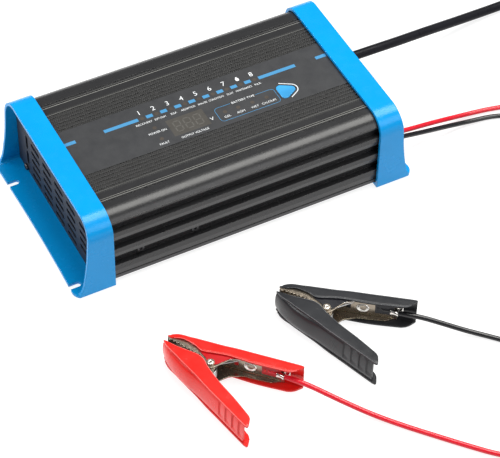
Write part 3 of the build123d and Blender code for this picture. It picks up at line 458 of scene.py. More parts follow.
# the last points of each wire, inside its clamp's crimp
wire_ends = {
    "red": [(-0.0463, -0.2242, 0.0125), (-0.0489, -0.2183, 0.0125), (-0.0530, -0.2145, 0.0124)],
    "black": [(0.0584, -0.2091, 0.0125), (0.0550, -0.2036, 0.0125), (0.0502, -0.2007, 0.0124)],
}
mains_centre, red_centre, black_centre = (0.352, -0.012), (0.150, -0.330), (0.232, -0.150)
mains_coil = coil_points(mains_centre, 0.5, -1420, 0.0524, 0.0362, (0.0041, 0.0124))
red_coil = coil_points(red_centre, -62, -1514, 0.0276, 0.0190, (0.0021, 0.0063))
black_coil = coil_points(black_centre, -8, -1785, 0.0293, 0.0188, (0.0021, 0.0063))
mains_cord = cord_curve(
    "mains_cord", mains_route + mains_coil + plug_route, 0.008, mains_rubber,
    ["mains_lead", "mains_coil", "mains_lead_end"],
)
red_cord = cord_curve(
    "red_cord", red_route_out + red_coil + red_route_back + wire_ends["red"], 0.004,
    wire_red, ["red_lead_out", "red_coil", "red_lead_back"],
)
black_cord = cord_curve(
    "black_cord", black_route_out + black_coil + black_route_back + wire_ends["black"], 0.004,
    wire_black, ["black_lead_out", "black_coil", "black_lead_back"],
)


def rounded(value):
    """A circle's cosine or sine drawn out towards a rounded square."""
    return math.copysign(abs(value) ** 0.55, value)


def coil_tie(name, centre, angle, inner, outer, height, width):
    """A soft band round one place of a coil."""
    a = math.radians(angle)
    radial = Vector((math.cos(a), math.sin(a), 0))
    tangent = Vector((-math.sin(a), math.cos(a), 0))
    middle = (inner + outer) / 2
    half = (outer - inner) / 2 + 0.0003
    verts = []
    sides = 28
    bands = ((-0.5, 0.0004), (-0.42, 0.0008), (0.42, 0.0008), (0.5, 0.0004))
    for t, lift in bands:
        for k in range(sides):
            b = 2 * math.pi * k / sides
            r = rounded(math.cos(b)) * (half + lift)
            z = rounded(math.sin(b)) * (height / 2 + lift)
            spot = Vector((*centre, height / 2)) + radial * (middle + r) + tangent * (t * width)
            verts.append(spot + Vector((0, 0, max(z, -height / 2 + 0.0001))))
    return add_mesh(name, verts, ring_faces(len(bands), sides), tie_black, smooth=True)


mains_tie = coil_tie("mains_tie", mains_centre, 200, 0.0318, 0.0562, 0.0165, 0.014)
red_tie = coil_tie("red_tie", red_centre, 100, 0.0168, 0.0297, 0.0083, 0.007)
black_tie = coil_tie("black_tie", black_centre, 190, 0.0167, 0.0314, 0.0083, 0.007)

# ------------------------------------------------------------------ outlet boot and plug
gland_face = Vector((127.5, 34.0, 31.5)) * MM
boot_axis = Vector(mains_route[0]) - gland_face
boot_length = boot_axis.length / MM
boot_profile = [(-2.0, 6.9), (2.0, 6.9), (3.0, 6.5)]
boot_rings, first_ring, plain_length = 6, 4.0, 5.0
step = (boot_length - plain_length) / boot_rings
for k in range(boot_rings):
    start = first_ring + step * k
    outer = 6.6 - 2.1 * k / (boot_rings - 1)
    boot_profile += [
        (start, outer - 0.9), (start + 0.3 * step, outer - 0.9),
        (start + 0.36 * step, outer - 0.1), (start + 0.5 * step, outer),
        (start + 0.88 * step, outer - 0.15), (start + 0.94 * step, outer - 0.9),
    ]
boot_profile += [(boot_length - 0.6, 4.25), (boot_length, 4.05)]
outlet_boot = lathe("outlet_boot", boot_profile, gland_face, boot_axis.normalized(), mains_rubber)
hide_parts("mains_strain_relief")
collar_profile = [(0.0, 7.2), (0.0, 8.6), (0.35, 9.0), (1.5, 9.0), (1.95, 8.6), (2.0, 6.4)]
lathe("outlet_collar", collar_profile, gland_face, (1, 0, 0), mains_rubber)

plug_low, plug_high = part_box("mains_plug")
plug_x, plug_z = 0.403, 0.019


def plug_ring(name, profile, y, sides):
    """A ring round the plug's axis."""
    lathe(name, profile, (plug_x, y, plug_z), (0, -1, 0), mains_rubber, sides)


for k in range(5):
    radius = 4.55 + 0.5 * k
    profile = [(-0.7, radius - 0.6), (-0.45, radius + 0.35), (0.45, radius + 0.4), (0.7, radius - 0.5)]
    plug_ring(f"plug_boot_ring_{k}", profile, plug_high[1] - 0.005 - 0.0033 * k, 32)
for k in range(4):
    profile = [(-0.75, 18.2), (-0.5, 18.98), (0.5, 18.98), (0.75, 18.2)]
    plug_ring(f"plug_grip_ring_{k}", profile, plug_low[1] + 0.0185 - 0.0032 * k, 48)
plug_ring("plug_face_rim", [(-0.4, 17.2), (0.0, 17.8), (0.0, 15.2), (-0.5, 14.8)], plug_low[1], 48)

# ------------------------------------------------------------------ label (sizes in millimetres)
LABEL_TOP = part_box("label_overlay")[1][2]
PRINT_LIFT = 0.00003
TEXT_LIFT = 0.00004
CAP_TO_SIZE = 1.38  # font size over the height of its capitals
STAGE_START, STAGE_PITCH = -47.9, 12.25
TYPE_X = (13.0, 24.5, 37.0, 49.5)


def stage_x(k):
    """The middle of charging stage k's column."""
    return STAGE_START + STAGE_PITCH * k


def flat_shape(name, outline, mat):
    """A thin printed shape on the label."""
    verts = [(x * MM, y * MM, LABEL_TOP + PRINT_LIFT) for x, y in outline]
    return add_mesh(name, verts, [tuple(range(len(outline)))], mat)


def print_text(name, words, x, y, height, width=None):
    """Printed words; x is the middle, y the base line."""
    curve = bpy.data.curves.new(name, "FONT")
    curve.body = words
    curve.size = height * CAP_TO_SIZE * MM
    curve.align_x = "CENTER"
    curve.materials.append(print_white)
    piece = bpy.data.objects.new(name, curve)
    bpy.context.scene.collection.objects.link(piece)
    bpy.context.view_layer.update()
    if width:
        piece.scale.x = width * MM / piece.dimensions.x
    piece.location = (x * MM, y * MM, LABEL_TOP + TEXT_LIFT)
    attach(piece, "charger")


def rectangle(x0, x1, y0, y1):
    return [(x0, y0), (x1, y0), (x1, y1), (x0, y1)]


stripe_spans = [(-114.5, -104.5), (-80.5, -51.5), (53.7, 86.5), (105.0, 114.5)]
stripe_spans += [(stage_x(k) + 3.4, stage_x(k) + 8.9) for k in range(8)]
for k, (x0, x1) in enumerate(stripe_spans):
    flat_shape(f"stripe_{k}", rectangle(x0, x1, 8.9, 12.2), print_blue)

# numbers over the stages, with a water drop over one of them
DROP_Y, DROP_HALF_WIDTH, DROP_HALF_HEIGHT = 17.3, 2.0, 2.4
stage_marks = ["1", "2", "3", "4", "5", "6", "7", None, "8"]
for k, mark in enumerate(stage_marks):
    if mark:
        print_text(f"stage_mark_{k}", mark, stage_x(k), 15.0, 4.8)
drop = []
for k in range(24):
    a = 2 * math.pi * k / 24
    across = DROP_HALF_WIDTH * math.sin(a) * math.sin(a / 2)
    drop.append((stage_x(7) + across, DROP_Y + DROP_HALF_HEIGHT * math.cos(a)))
flat_shape("drop_mark", drop, print_white)

stage_words = [
    ("RECOVERY", -48.9, 13.8), ("SOFT START", -35.0, 10.0), ("BULK", -23.5, 5.0),
    ("ABSORPTION", -11.0, 12.0), ("ANALYSIS", 1.5, 8.0), ("CONDITION", 13.5, 13.0),
    ("FLOAT", 25.7, 5.5), ("MAINTENANCE", 38.0, 14.0), ("PULSE", 50.2, 5.5),
]
for k, (word, x, width) in enumerate(stage_words):
    print_text(f"stage_word_{k}", word, x, 4.0, 2.0, width)
other_words = [
    ("POWER ON", -43.5, -9.0, 15.0, 2.2), ("FAULT", -43.8, -22.2, 8.0, 2.2),
    ("OUTPUT VOLTAGE", -17.8, -22.8, 23.5, 2.2), ("V", 0.6, -15.4, 3.2, 3.6),
    ("BATTERY TYPE", 31.8, -6.2, 20.0, 2.2), ("GEL", 12.8, -17.7, 5.5, 2.2),
    ("AGM", 24.5, -17.7, 7.0, 2.2), ("WET", 36.8, -17.7, 6.5, 2.2),
    ("CALCIUM", 49.0, -17.7, 12.0, 2.2),
]
for k, (word, x, y, width, height) in enumerate(other_words):
    print_text(f"word_{k}", word, x, y, height, width)


def stroke(name, path, width, mat):
    """A printed line of even width along path."""
    sides = ([], [])
    for i, p in enumerate(path):
        q0, q1 = path[max(i - 1, 0)], path[min(i + 1, len(path) - 1)]
        d = Vector((q1[0] - q0[0], q1[1] - q0[1])).normalized() * width / 2
        sides[0].append((p[0] - d.y, p[1] + d.x))
        sides[1].append((p[0] + d.y, p[1] - d.x))
    n = len(path)
    verts = [(x * MM, y * MM, LABEL_TOP + PRINT_LIFT) for x, y in sides[0] + sides[1]]
    faces = [(i, n + i, n + i + 1, i + 1) for i in range(n - 1)]
    return add_mesh(name, verts, faces, mat)


def arc(cx, cy, r, a0, a1, n=8):
    angles = [math.radians(a0 + (a1 - a0) * i / n) for i in range(n + 1)]
    return [(cx + r * math.cos(a), cy + r * math.sin(a)) for a in angles]


frame_line = [(20.5, -5.0)] + arc(9, -8, 3, 90, 180) + arc(9, -17.5, 3, 180, 270)
frame_line += arc(55.3, -17.5, 3, 270, 360) + arc(55.3, -8, 3, 0, 90) + [(43.0, -5.0)]
stroke("type_frame", frame_line, 0.35, print_blue)
chevron = [(65.0, -1.9)] + arc(71.2, -11.75, 5.4, 60, -60, 12) + [(67.4, -20.2)]
stroke("key_chevron", chevron, 0.7, print_white)

# smoked dots over the lamps
lamp_places = [(stage_x(k), 10.5) for k in range(9)]
lamp_places += [(-43.8, -3.0), (-43.8, -16.0)] + [(x, -11.5) for x in TYPE_X]
for k, (x, y) in enumerate(lamp_places):
    flat_shape(f"lamp_dot_{k}", arc(x, y, 1.75, 0, 345, 23), lamp_clear)

# seven-segment figures behind the window: (across, up, width, height) from a figure's middle
DIGIT_PITCH = 8.6
segment_boxes = [
    (0, 5.6, 4.2, 0.9), (0, 0, 4.2, 0.9), (0, -5.6, 4.2, 0.9),
    (-2.7, 2.8, 0.9, 4.4), (2.7, 2.8, 0.9, 4.4), (-2.7, -2.8, 0.9, 4.4), (2.7, -2.8, 0.9, 4.4),
]
window_low, window_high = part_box("display_window")
window_x = (window_low[0] + window_high[0]) / 2 / MM
window_y = (window_low[1] + window_high[1]) / 2 / MM
for digit in range(3):
    for across, rise, width, height in segment_boxes:
        x, y = window_x + (digit - 1) * DIGIT_PITCH + across, window_y + rise
        outline = rectangle(x - width / 2, x + width / 2, y - height / 2, y + height / 2)
        name = f"segment_{digit}_{across:+.0f}_{rise:+.0f}".replace("+", "p").replace("-", "m")
        flat_shape(name, outline, segment_dim)

# painted highlights: thin lighter strips beside the long grooves of the case and by its ribbed zones,
# where light catches edges: (distance from y = 0, width, material)
case_low, case_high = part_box("case_extrusion")
CASE_SHOULDER_Z = 0.070012
edge_lines = {
    "front": [(53.5, 0.34, highlight_strong), (55.2, 0.42, highlight_strong), (45.25, 0.45, highlight_soft)],
    "back": [(53.5, 0.42, highlight_strong), (55.5, 0.30, highlight_soft), (45.25, 0.45, highlight_soft)],
}
for name, lines in edge_lines.items():
    side = -1 if name == "front" else 1
    for k, (near, width, mat) in enumerate(lines):
        y0, y1 = side * near * MM, side * (near + width) * MM
        x0, x1 = case_low[0] + 0.0005, case_high[0] - 0.0005
        corners = [(x, y, CASE_SHOULDER_Z) for x, y in rectangle(x0, x1, y0, y1)]
        face = (0, 1, 2, 3) if side > 0 else (3, 2, 1, 0)
        add_mesh(f"bright_line_{k}_{name}", corners, [face], mat)

# ------------------------------------------------------------------ clamps (sizes in millimetres)
# A clamp's own frame: u along it from tail to nose, v across it, z up, with the pivot at u = v = 0.
CLAMP_MID = 12.5
clamp_places = {"black": ((9.0, -188.0), 126.7), "red": ((-92.0, -196.0), 118.1)}
cover_outline = [
    (41.0, 3.5), (34.0, 8.5), (24.0, 13.2), (12.0, 16.8),
    (-1.5, 19.5), (-20.0, 24.6), (-40.0, 30.6), (-55.0, 35.0),
]
fixed_outline = cover_outline[:-1] + [(-59.4, 36.3)]
moving_flange = [
    (37.4, 2.1), (29.2, 2.8), (21.1, 1.6), (13.5, 0.2), (8.6, 0.2),
    (3.9, 1.8), (-1.2, 5.1), (-15.3, 11.5), (-33.1, 17.7), (-50.6, 24.7),
]
fixed_flange = [
    (37.4, 2.1), (28.8, 5.8), (18.2, 6.0), (10.6, 4.6), (1.1, 8.5),
    (-8.8, 12.3), (-30.0, 17.6), (-54.0, 25.7),
]


def clamp_point(place, u, v, z):
    """A point of a clamp's own frame in the part's frame (metres)."""
    (px, py), heading = place
    c, s = math.cos(math.radians(heading)), math.sin(math.radians(heading))
    return Vector((px + u * c - v * s, py + u * s + v * c, z)) * MM


def smooth_line(points, count):
    """Evenly spaced points on a Catmull-Rom curve through points."""
    fine = []
    for i in range(len(points) - 1):
        p = [Vector(points[max(0, min(len(points) - 1, i + k))]) for k in (-1, 0, 1, 2)]
        for t in [j / 16 for j in range(16)]:
            fine.append(0.5 * (
                2 * p[1] + (p[2] - p[0]) * t + (2 * p[0] - 5 * p[1] + 4 * p[2] - p[3]) * t ** 2
                + (3 * p[1] - p[0] - 3 * p[2] + p[3]) * t ** 3
            ))
    fine.append(Vector(points[-1]))
    lengths = [0.0]
    for a, b in zip(fine, fine[1:]):
        lengths.append(lengths[-1] + (b - a).length)
    line = []
    for k in range(count):
        target = lengths[-1] * k / (count - 1)
        i = max(j for j in range(len(fine)) if lengths[j] <= target + 1e-9)
        i = min(i, len(fine) - 2)
        share = (target - lengths[i]) / (lengths[i + 1] - lengths[i])
        line.append(fine[i].lerp(fine[i + 1], share))
    return line


def grid_faces(rows, width, base, flip):
    """Quads between neighbouring rows of points, numbered from base."""
    faces = []
    for i in range(rows - 1):
        for k in range(width - 1):
            quad = (
                base + i * width + k, base + i * width + k + 1,
                base + (i + 1) * width + k + 1, base + (i + 1) * width + k,
            )
            faces.append(quad[::-1] if flip else quad)
    return faces


def closed_sheet(outer, inner, flip):
    """A solid between two grids of points that match each other."""
    rows, width = len(outer), len(outer[0])
    verts = [p for row in outer for p in row] + [p for row in inner for p in row]
    half = rows * width
    faces = grid_faces(rows, width, 0, flip) + grid_faces(rows, width, half, not flip)
    rim = [(i, 0) for i in range(rows)] + [(rows - 1, k) for k in range(1, width)]
    rim += [(i, width - 1) for i in range(rows - 2, -1, -1)]
    rim += [(0, k) for k in range(width - 2, 0, -1)]
    loop = [i * width + k for i, k in rim]
    for a, b in zip(loop, loop[1:] + loop[:1]):
        quad = (a, b, b + half, a + half)
        faces.append(quad if flip else quad[::-1])
    return verts, faces


def merged(meshes):
    """One list of vertices and one of faces from several meshes."""
    verts, faces = [], []
    for part_verts, part_faces in meshes:
        base = len(verts)
        verts += part_verts
        faces += [tuple(base + k for k in face) for face in part_faces]
    return verts, faces


def half_height(u):
    """Half the cover's height, which tapers towards the nose."""
    return 12.5 - 2.4 * ramp(u, 30.0, 47.0)


def shoulder(u):
    """How far the rounded shoulder draws the plates in: most behind the nose."""
    return 2.2 * ramp(u, -14.0, 18.0) - 1.9 * ramp(u, 24.0, 38.0)


# stations across a side plate: (share of the way from ridge to edge, drop below its top)
plate_section = [
    (0.0, 1.10), (0.012, 0.55), (0.035, 0.18), (0.075, 0.0), (0.30, 0.0), (0.55, 0.0),
    (0.80, 0.0), (0.925, 0.0), (0.965, 0.18), (0.988, 0.55), (1.0, 1.15),
]
PLATE_THICKNESS = 1.8
PLATE_INSET = 0.7  # from the outline to a plate's ridge
# stations down the back wall: (share of half the height, bulge, share of the shoulder)
wall_section = [
    (0.90, -0.3, 1.0), (0.80, -0.2, 0.62), (0.765, 0.30, 0.50), (0.72, 0.55, 0.40),
    (0.64, 0.80, 0.25), (0.54, 1.00, 0.12), (0.42, 1.15, 0.04), (0.30, 1.26, 0.0),
    (0.15, 1.34, 0.0), (0.0, 1.38, 0.0),
]
wall_section += [(-level, bulge, round_in) for level, bulge, round_in in wall_section[-2::-1]]
WALL_INSET = 1.5  # from the outline to the line that the wall's bulge is measured from
WALL_INNER = 0.45  # from that line to the wall's inner face
# grip notches near the tail: places, length, depth, lip, and the part of the wall's height they cover
NOTCHES = (-25.4, -32.6, -39.8, -47.0)
NOTCH_RUN, NOTCH_DEPTH, NOTCH_LIP = 6.4, 0.9, 0.35
NOTCH_BOTTOM, NOTCH_TOP = -0.35, 0.73


def notch_depth(u):
    """Depth of the notches at u: each is a step that runs out towards the tail."""
    depth = 0.0
    for notch in NOTCHES:
        behind = notch - u
        if -NOTCH_LIP < behind < NOTCH_RUN:
            depth = NOTCH_DEPTH * ramp(behind, -NOTCH_LIP, 0.1) * (1 - behind / NOTCH_RUN)
    return depth


def inward_at(line, i):
    """The direction from the back wall into the cover at a point of its line."""
    along = (line[min(i + 1, len(line) - 1)] - line[max(i - 1, 0)]).normalized()
    inward = Vector((-along.y, along.x))
    return -inward if inward.y > 0 else inward


def plate_strip(frames, plate_end, ridge_round, edge_round):
    """Pairs of points, ridge and edge, along a side plate; its tail has two round corners."""
    strip = []
    for b, e, inward in frames:
        if b.x > plate_end:
            strip.append((b + inward * (PLATE_INSET + shoulder(b.x)), e))
    end_dir = (strip[-1][0] - strip[-2][0]).normalized()
    across = (strip[-1][1] - strip[-1][0]).normalized()
    ridge_end, edge_end = strip[-1]
    reach = max(ridge_round, edge_round)
    for k in range(1, 9):
        a = math.radians(90 * k / 8)
        move = end_dir * (0.6 + reach * math.sin(a))
        strip.append((
            ridge_end + move + across * ridge_round * (1 - math.cos(a)),
            edge_end + move - across * edge_round * (1 - math.cos(a)),
        ))
    return strip


def side_plate(place, side, strip, up):
    """The upper (up = 1) or lower (up = -1) plate of a cover."""
    outer, inner = [], []
    for ridge, edge in strip:
        top = half_height(ridge.x)
        under = CLAMP_MID + up * (top - PLATE_THICKNESS)
        points = [(ridge.lerp(edge, share), fall) for share, fall in plate_section]
        outer.append([
            clamp_point(place, p.x, side * p.y, CLAMP_MID + up * (top - fall)) for p, fall in points
        ])
        inner.append([clamp_point(place, p.x, side * p.y, under) for p, _ in points])
    return closed_sheet(outer, inner, side * up > 0)


def back_wall(place, side, frames, wall_end):
    """The bulging wall that joins a cover's two plates."""
    outer, inner = [], []
    for b, _, inward in frames:
        if b.x < wall_end:
            break
        dent = notch_depth(b.x)
        wall = b + inward * WALL_INSET
        top = half_height(b.x)
        draw = shoulder(b.x)
        outer_row, inner_row = [], []
        for level, bulge, round_in in wall_section:
            notched = NOTCH_BOTTOM < level < NOTCH_TOP
            proud = bulge - draw * round_in - (dent if notched else 0.0)
            face = wall - inward * proud
            deep = wall + inward * (WALL_INNER + draw * round_in)
            z = CLAMP_MID + top * level
            outer_row.append(clamp_point(place, face.x, side * face.y, z))
            inner_row.append(clamp_point(place, deep.x, side * deep.y, z))
        outer.append(outer_row)
        inner.append(inner_row)
    return closed_sheet(outer, inner, side < 0)


def plate_beads(place, side, strip):
    """Beads along the ridge and the edge of both plates, in a lighter plastic: painted highlight."""
    beads = []
    for up in (1, -1):
        for share, fall in ((0.03, 0.12), (0.985, 0.42)):
            line = []
            for ridge, edge in strip[6::3]:
                p = ridge.lerp(edge, share)
                z = CLAMP_MID + up * (half_height(ridge.x) - fall)
                line.append(clamp_point(place, p.x, side * p.y, z))
            beads.append(tube_mesh(line, 0.3 * MM, 8))
    return beads


def cover_piece(colour, part, side, outline, flange, ends, mat, highlight_mat, body):
    """A clamp half's plastic cover: a bulging back wall between two plates with round ends.

    ends: where the plates' straight part and the wall end, and the plates' two corner radii."""
    plate_end, wall_end, ridge_round, edge_round = ends
    place = clamp_places[colour]
    stations = 240
    back_line = smooth_line(outline, stations)
    edge_line = smooth_line(flange, stations)
    frames = [(back_line[i], edge_line[i], inward_at(back_line, i)) for i in range(stations)]
    strip = plate_strip(frames, plate_end, ridge_round, edge_round)
    meshes = [side_plate(place, side, strip, up) for up in (1, -1)]
    meshes.append(back_wall(place, side, frames, wall_end))
    piece = add_mesh(f"{colour}_{part}", *merged(meshes), mat, body, True)
    piece.data.set_sharp_from_angle(angle=math.radians(40))
    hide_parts(f"{colour}_clamp_{part}")
    # the beads are in the lighter plastic: painted highlight along the covers' edges
    beads = merged(plate_beads(place, side, strip))
    add_mesh(f"{colour}_{part}_beads", *beads, highlight_mat, body, True)


for colour, mat, highlight_mat in (("red", clamp_red, highlight_red), ("black", clamp_black, highlight_black)):
    cover_piece(
        colour, "fixed_cover", -1, fixed_outline, fixed_flange, (-54.3, -58.9, 1.0, 4.6), mat,
        highlight_mat, "charger",
    )
    cover_piece(
        colour, "moving_cover", 1, cover_outline, moving_flange, (-53.0, -52.3, 3.6, 3.6), mat,
        highlight_mat, f"{colour}_jaw",
    )


def plate(name, place, outline, low, high, mat):
    """A flat plate with the given outline in a clamp's frame."""
    count = len(outline)
    verts = [clamp_point(place, u, v, low) for u, v in outline]
    verts += [clamp_point(place, u, v, high) for u, v in outline]
    faces = [tuple(range(count))[::-1], tuple(range(count, 2 * count))]
    faces += [(k, (k + 1) % count, (k + 1) % count + count, k + count) for k in range(count)]
    piece = add_mesh(name, verts, faces, mat)
    fix = bmesh.new()
    fix.from_mesh(piece.data)
    bmesh.ops.recalc_face_normals(fix, faces=fix.faces)
    fix.to_mesh(piece.data)
    fix.free()


def rolled_edge(name, place, path, z, radius, mat):
    """A thin round bead along path in a clamp's frame."""
    line = [clamp_point(place, p.x, p.y, z) for p in smooth_line(path, 40)]
    verts, faces = tube_mesh(line, radius * MM, 8)
    add_mesh(name, verts, faces, mat, smooth=True)


ledge_outline = [
    (20.0, -7.5), (11.0, -3.6), (5.0, -1.4), (2.6, 0.9), (0.0, 1.6), (-2.6, 0.8), (-5.0, -1.5),
    (-6.9, -5.4), (-9.2, -9.8), (-11.5, -12.2), (-12.0, -14.5), (0.0, -11.0), (10.0, -8.0),
]
rivet_profile = [
    (0.0, 2.5), (0.45, 2.45), (0.8, 1.9), (0.95, 1.3), (0.6, 0.9), (0.35, 0.5), (0.3, 0.05),
]
# rings of the dimple from its foot to its middle: (share of its size, height over the web)
dimple_rings = (
    (1.0, 0.05), (0.95, 0.45), (0.86, 0.62), (0.78, 0.35), (0.6, 0.16), (0.3, 0.09), (0.04, 0.07),
)
slot_outline = [(-8.6, -18.45), (-11.6, -19.25), (-11.7, -18.95), (-8.7, -18.15)]
web_foot = [(1.0, -15.5), (-4.0, -17.2), (-14.0, -19.8), (-26.0, -23.2), (-42.0, -28.0)]
plate_edge = [(-8.2, -8.6), (-9.8, -10.6), (-18.0, -16.4), (-25.7, -18.9), (-38.5, -23.6)]
bed_outline = [(-29.6, -23.95), (-43.6, -28.2), (-43.9, -27.1), (-29.9, -22.9)]


def web_dimple(colour):
    """The stamped dimple in the fixed web: a bright lip that turns down into a shallow bowl."""
    start, end = Vector((-15.0, -20.2)), Vector((-26.0, -23.4))
    middle, middle_z = (start + end) / 2, 10.4
    half_length, half_width = 5.2, 4.4
    along = (end - start).normalized()
    out = Vector((-along.y, along.x))
    out = out if out.y > 0 else -out
    sides = 28
    verts = []
    for scale, off in dimple_rings:
        for k in range(sides):
            a = 2 * math.pi * k / sides
            p = middle + along * half_length * scale * math.cos(a) + out * off
            z = middle_z + half_width * scale * math.sin(a)
            verts.append(clamp_point(clamp_places[colour], p.x, p.y, z))
    faces = ring_faces(len(dimple_rings), sides) + end_caps(len(dimple_rings), sides)[1:]
    add_mesh(f"{colour}_web_dimple", verts, faces, bright_metal_and_highlight, smooth=True)


def clamp_fittings(colour, cover_mat, shaded_mat):
    """Ledges over the fixed plates, rivet head, and the details of one clamp's fixed web; the ledges,
    the web slot and the wire bed are in a darker copy of the plastic: painted shade.
    """
    place = clamp_places[colour]
    # ledges in a darker copy of the cover's plastic: painted shade
    plate(f"{colour}_upper_ledge", place, ledge_outline, 22.75, 23.3, shaded_mat)
    plate(f"{colour}_lower_ledge", place, ledge_outline, 1.6, 2.25, shaded_mat)
    rivet_foot = clamp_point(place, 0.0, 0.0, 23.2)
    lathe(f"{colour}_rivet_head", rivet_profile, rivet_foot, (0, 0, 1), bright_metal_and_highlight, 20)
    web_dimple(colour)
    # a dark sliver for the slot in the web: painted shade
    plate(f"{colour}_web_slot", place, slot_outline, 8.6, 13.8, shaded_mat)
    rolled_edge(f"{colour}_web_bend", place, web_foot, 3.7, 0.42, bend_steel)
    rolled_edge(f"{colour}_low_edge", place, plate_edge, 3.0, 0.32, bend_steel)
    # the upper plate's edge in the bright metal: painted highlight
    rolled_edge(f"{colour}_high_edge", place, plate_edge[:4], 22.3, 0.34, bright_metal_and_highlight)
    # plastic bed over the web beside the crimp, with raised bars; the bed is in the darker plastic:
    # painted shade
    plate(f"{colour}_wire_bed", place, bed_outline, 8.2, 21.5, shaded_mat)
    far_side = [Vector(bed_outline[3]), Vector(bed_outline[2])]
    for k in range(4):
        bar = [far_side[0].lerp(far_side[1], (k + t) / 5 + 0.12) for t in (0.0, 0.45)]
        proud = [p + Vector((0.1, 0.35)) for p in bar]
        rib = [tuple(p) for p in (bar[0], bar[1], proud[1], proud[0])]
        plate(f"{colour}_bed_bar_{k}", place, rib, 11.2, 14.4, cover_mat)


SPRING_COIL_RADIUS = 4.5
SPRING_TURNS = 6
SPRING_FIXED_Z, SPRING_MOVING_Z = 16.3, 8.8
SPRING_LEG_END = Vector((-14.2, 19.4))


def clamp_spring(colour):
    """Torsion spring: a coil round the pin with a leg against each half."""
    place = clamp_places[colour]

    def on_coil(angle, z):
        a = math.radians(angle)
        u, v = SPRING_COIL_RADIUS * math.cos(a), SPRING_COIL_RADIUS * math.sin(a)
        return clamp_point(place, u, v, z)

    leg_start, coil_side = Vector((SPRING_LEG_END.x, -SPRING_LEG_END.y)), Vector((-1.0, -4.6))
    points = []
    for k in range(10):
        p = leg_start.lerp(coil_side, k / 10)
        points.append(clamp_point(place, p.x, p.y, SPRING_FIXED_Z))
    steps = SPRING_TURNS * 20
    fall = SPRING_FIXED_Z - SPRING_MOVING_Z
    for k in range(steps + 1):
        points.append(on_coil(-100 - 360 * k / 20, SPRING_FIXED_Z - fall * k / steps))
    coil_end = -100 - 360 * SPRING_TURNS
    for k in range(1, 6):
        points.append(on_coil(coil_end - 160 * k / 5, SPRING_MOVING_Z))
    b = math.radians(coil_end - 160)
    start = Vector((SPRING_COIL_RADIUS * math.cos(b), SPRING_COIL_RADIUS * math.sin(b)))
    for k in range(1, 11):
        p = start.lerp(SPRING_LEG_END, k / 10)
        points.append(clamp_point(place, p.x, p.y, SPRING_MOVING_Z))
    verts, faces = tube_mesh(points, 0.6 * MM, 10)
    piece = add_mesh(f"{colour}_torsion_spring", verts, faces, spring_steel, None, True)
    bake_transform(piece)
    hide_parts(f"{colour}_clamp_spring")


crimp_tab_outline = [
    (-42.5, -28.8), (-47.5, -28.2), (-49.6, -31.2), (-49.0, -31.9), (-46.9, -29.2), (-42.5, -29.6),
]


def wire_crimp(colour):
    """Crimp barrel round the wire, waisted and with a seam, and a tab folded over."""
    place = clamp_places[colour]
    start, end = Vector((-47.2, -27.2)), Vector((-41.5, -26.6))
    along = (end - start).normalized()
    across = Vector((-along.y, along.x))
    verts = []
    sides, rows = 20, 12
    radius, pinch, flare, seam_depth = 2.65, 0.45, 0.25, 0.55
    for i in range(rows + 1):
        share = i / rows
        waist = radius - pinch * math.sin(math.pi * share) ** 2 + (flare if i in (0, rows) else 0.0)
        middle = start.lerp(end, share)
        for k in range(sides):
            a = 2 * math.pi * k / sides
            seam = seam_depth * max(0.0, math.cos(2 * (a - math.pi / 2)) - 0.75) * 4
            r = waist - seam
            p = middle + across * r * math.cos(a)
            verts.append(clamp_point(place, p.x, p.y, CLAMP_MID + r * math.sin(a)))
    faces = ring_faces(rows + 1, sides)
    barrel = add_mesh(f"{colour}_crimp", verts, faces, bright_metal_and_highlight, smooth=True)
    wall = barrel.modifiers.new("wall", "SOLIDIFY")
    wall.thickness = 0.5 * MM
    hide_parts(f"{colour}_clamp_lug")
    plate(f"{colour}_crimp_tab", place, crimp_tab_outline, 11.5, 16.8, bright_metal_and_highlight)


for colour in clamp_places:
    clamp_spring(colour)
clamp_fittings("red", clamp_red, shaded_red)
clamp_fittings("black", clamp_black, shaded_black)
for colour in clamp_places:
    wire_crimp(colour)


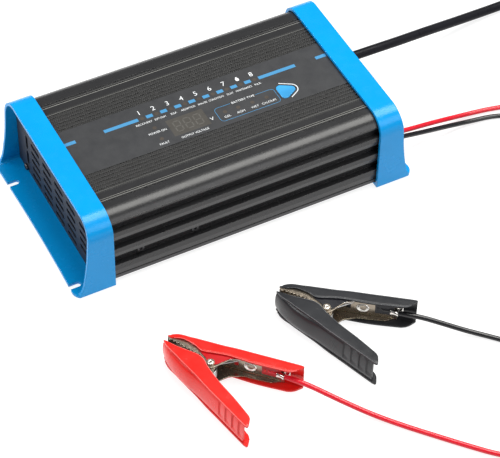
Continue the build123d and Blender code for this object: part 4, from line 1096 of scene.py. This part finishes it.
def nodes_of(colour):
    """Everything on the far end of a wire apart from the half that swings."""
    made = [
        "fixed_cover", "fixed_cover_beads", "crimp", "crimp_tab", "upper_ledge", "lower_ledge",
        "rivet_head", "web_dimple", "web_slot", "web_bend", "low_edge", "high_edge", "wire_bed",
    ]
    made += [f"bed_bar_{k}" for k in range(4)]
    made += ["clamp_fixed_jaw", "clamp_pivot"]
    return [bpy.data.objects[f"{colour}_{part}"] for part in made]


nodes_of("red") + [red_tie]
nodes_of("black") + [black_tie]

# ------------------------------------------------------------------ stage
floor_mat, _, _ = shader(
    "floor_paper", (0.30, 0.30, 0.30), 0.9, Specular_IOR_Level=0.1,
    Emission_Color=(1.0, 1.0, 1.0, 1.0), Emission_Strength=0.80,
)
FLOOR_HALF, FLOOR_Z = 4, -0.0002
floor_corners = rectangle(-FLOOR_HALF, FLOOR_HALF, -FLOOR_HALF, FLOOR_HALF)
floor = add_mesh("floor", [(x, y, FLOOR_Z) for x, y in floor_corners], [(0, 1, 2, 3)], floor_mat, None)

world = bpy.data.worlds.new("studio")
world.use_nodes = True
world.node_tree.nodes["Background"].inputs["Color"].default_value = (0.95, 0.97, 1.0, 1.0)
world.node_tree.nodes["Background"].inputs["Strength"].default_value = 0.22
bpy.context.scene.world = world
bpy.context.scene.view_settings.view_transform = "Standard"


def softbox(name, place, size, power, colour=(1.0, 1.0, 1.0)):
    """A rectangular lamp that faces the middle of the object."""
    data = bpy.data.lights.new(name, "AREA")
    data.shape = "RECTANGLE"
    data.size, data.size_y = size
    data.energy = power
    data.color = colour
    lamp = bpy.data.objects.new(name, data)
    lamp.location = place
    towards = Vector((0.0, -0.05, 0.03)) - Vector(place)
    lamp.rotation_euler = towards.to_track_quat("-Z", "Y").to_euler()
    bpy.context.scene.collection.objects.link(lamp)


softbox("overhead", (0.55, 0.04, 1.65), (1.05, 1.5), 41.0, (1.0, 0.99, 0.95))
softbox("left_fill", (-1.22, 0.10, 1.20), (0.5, 0.5), 8.0)
softbox("front_fill", (0.60, -1.30, 0.95), (1.0, 0.8), 8.0)
softbox("back_left", (-1.35, 1.15, 0.60), (1.0, 0.30), 12.0)
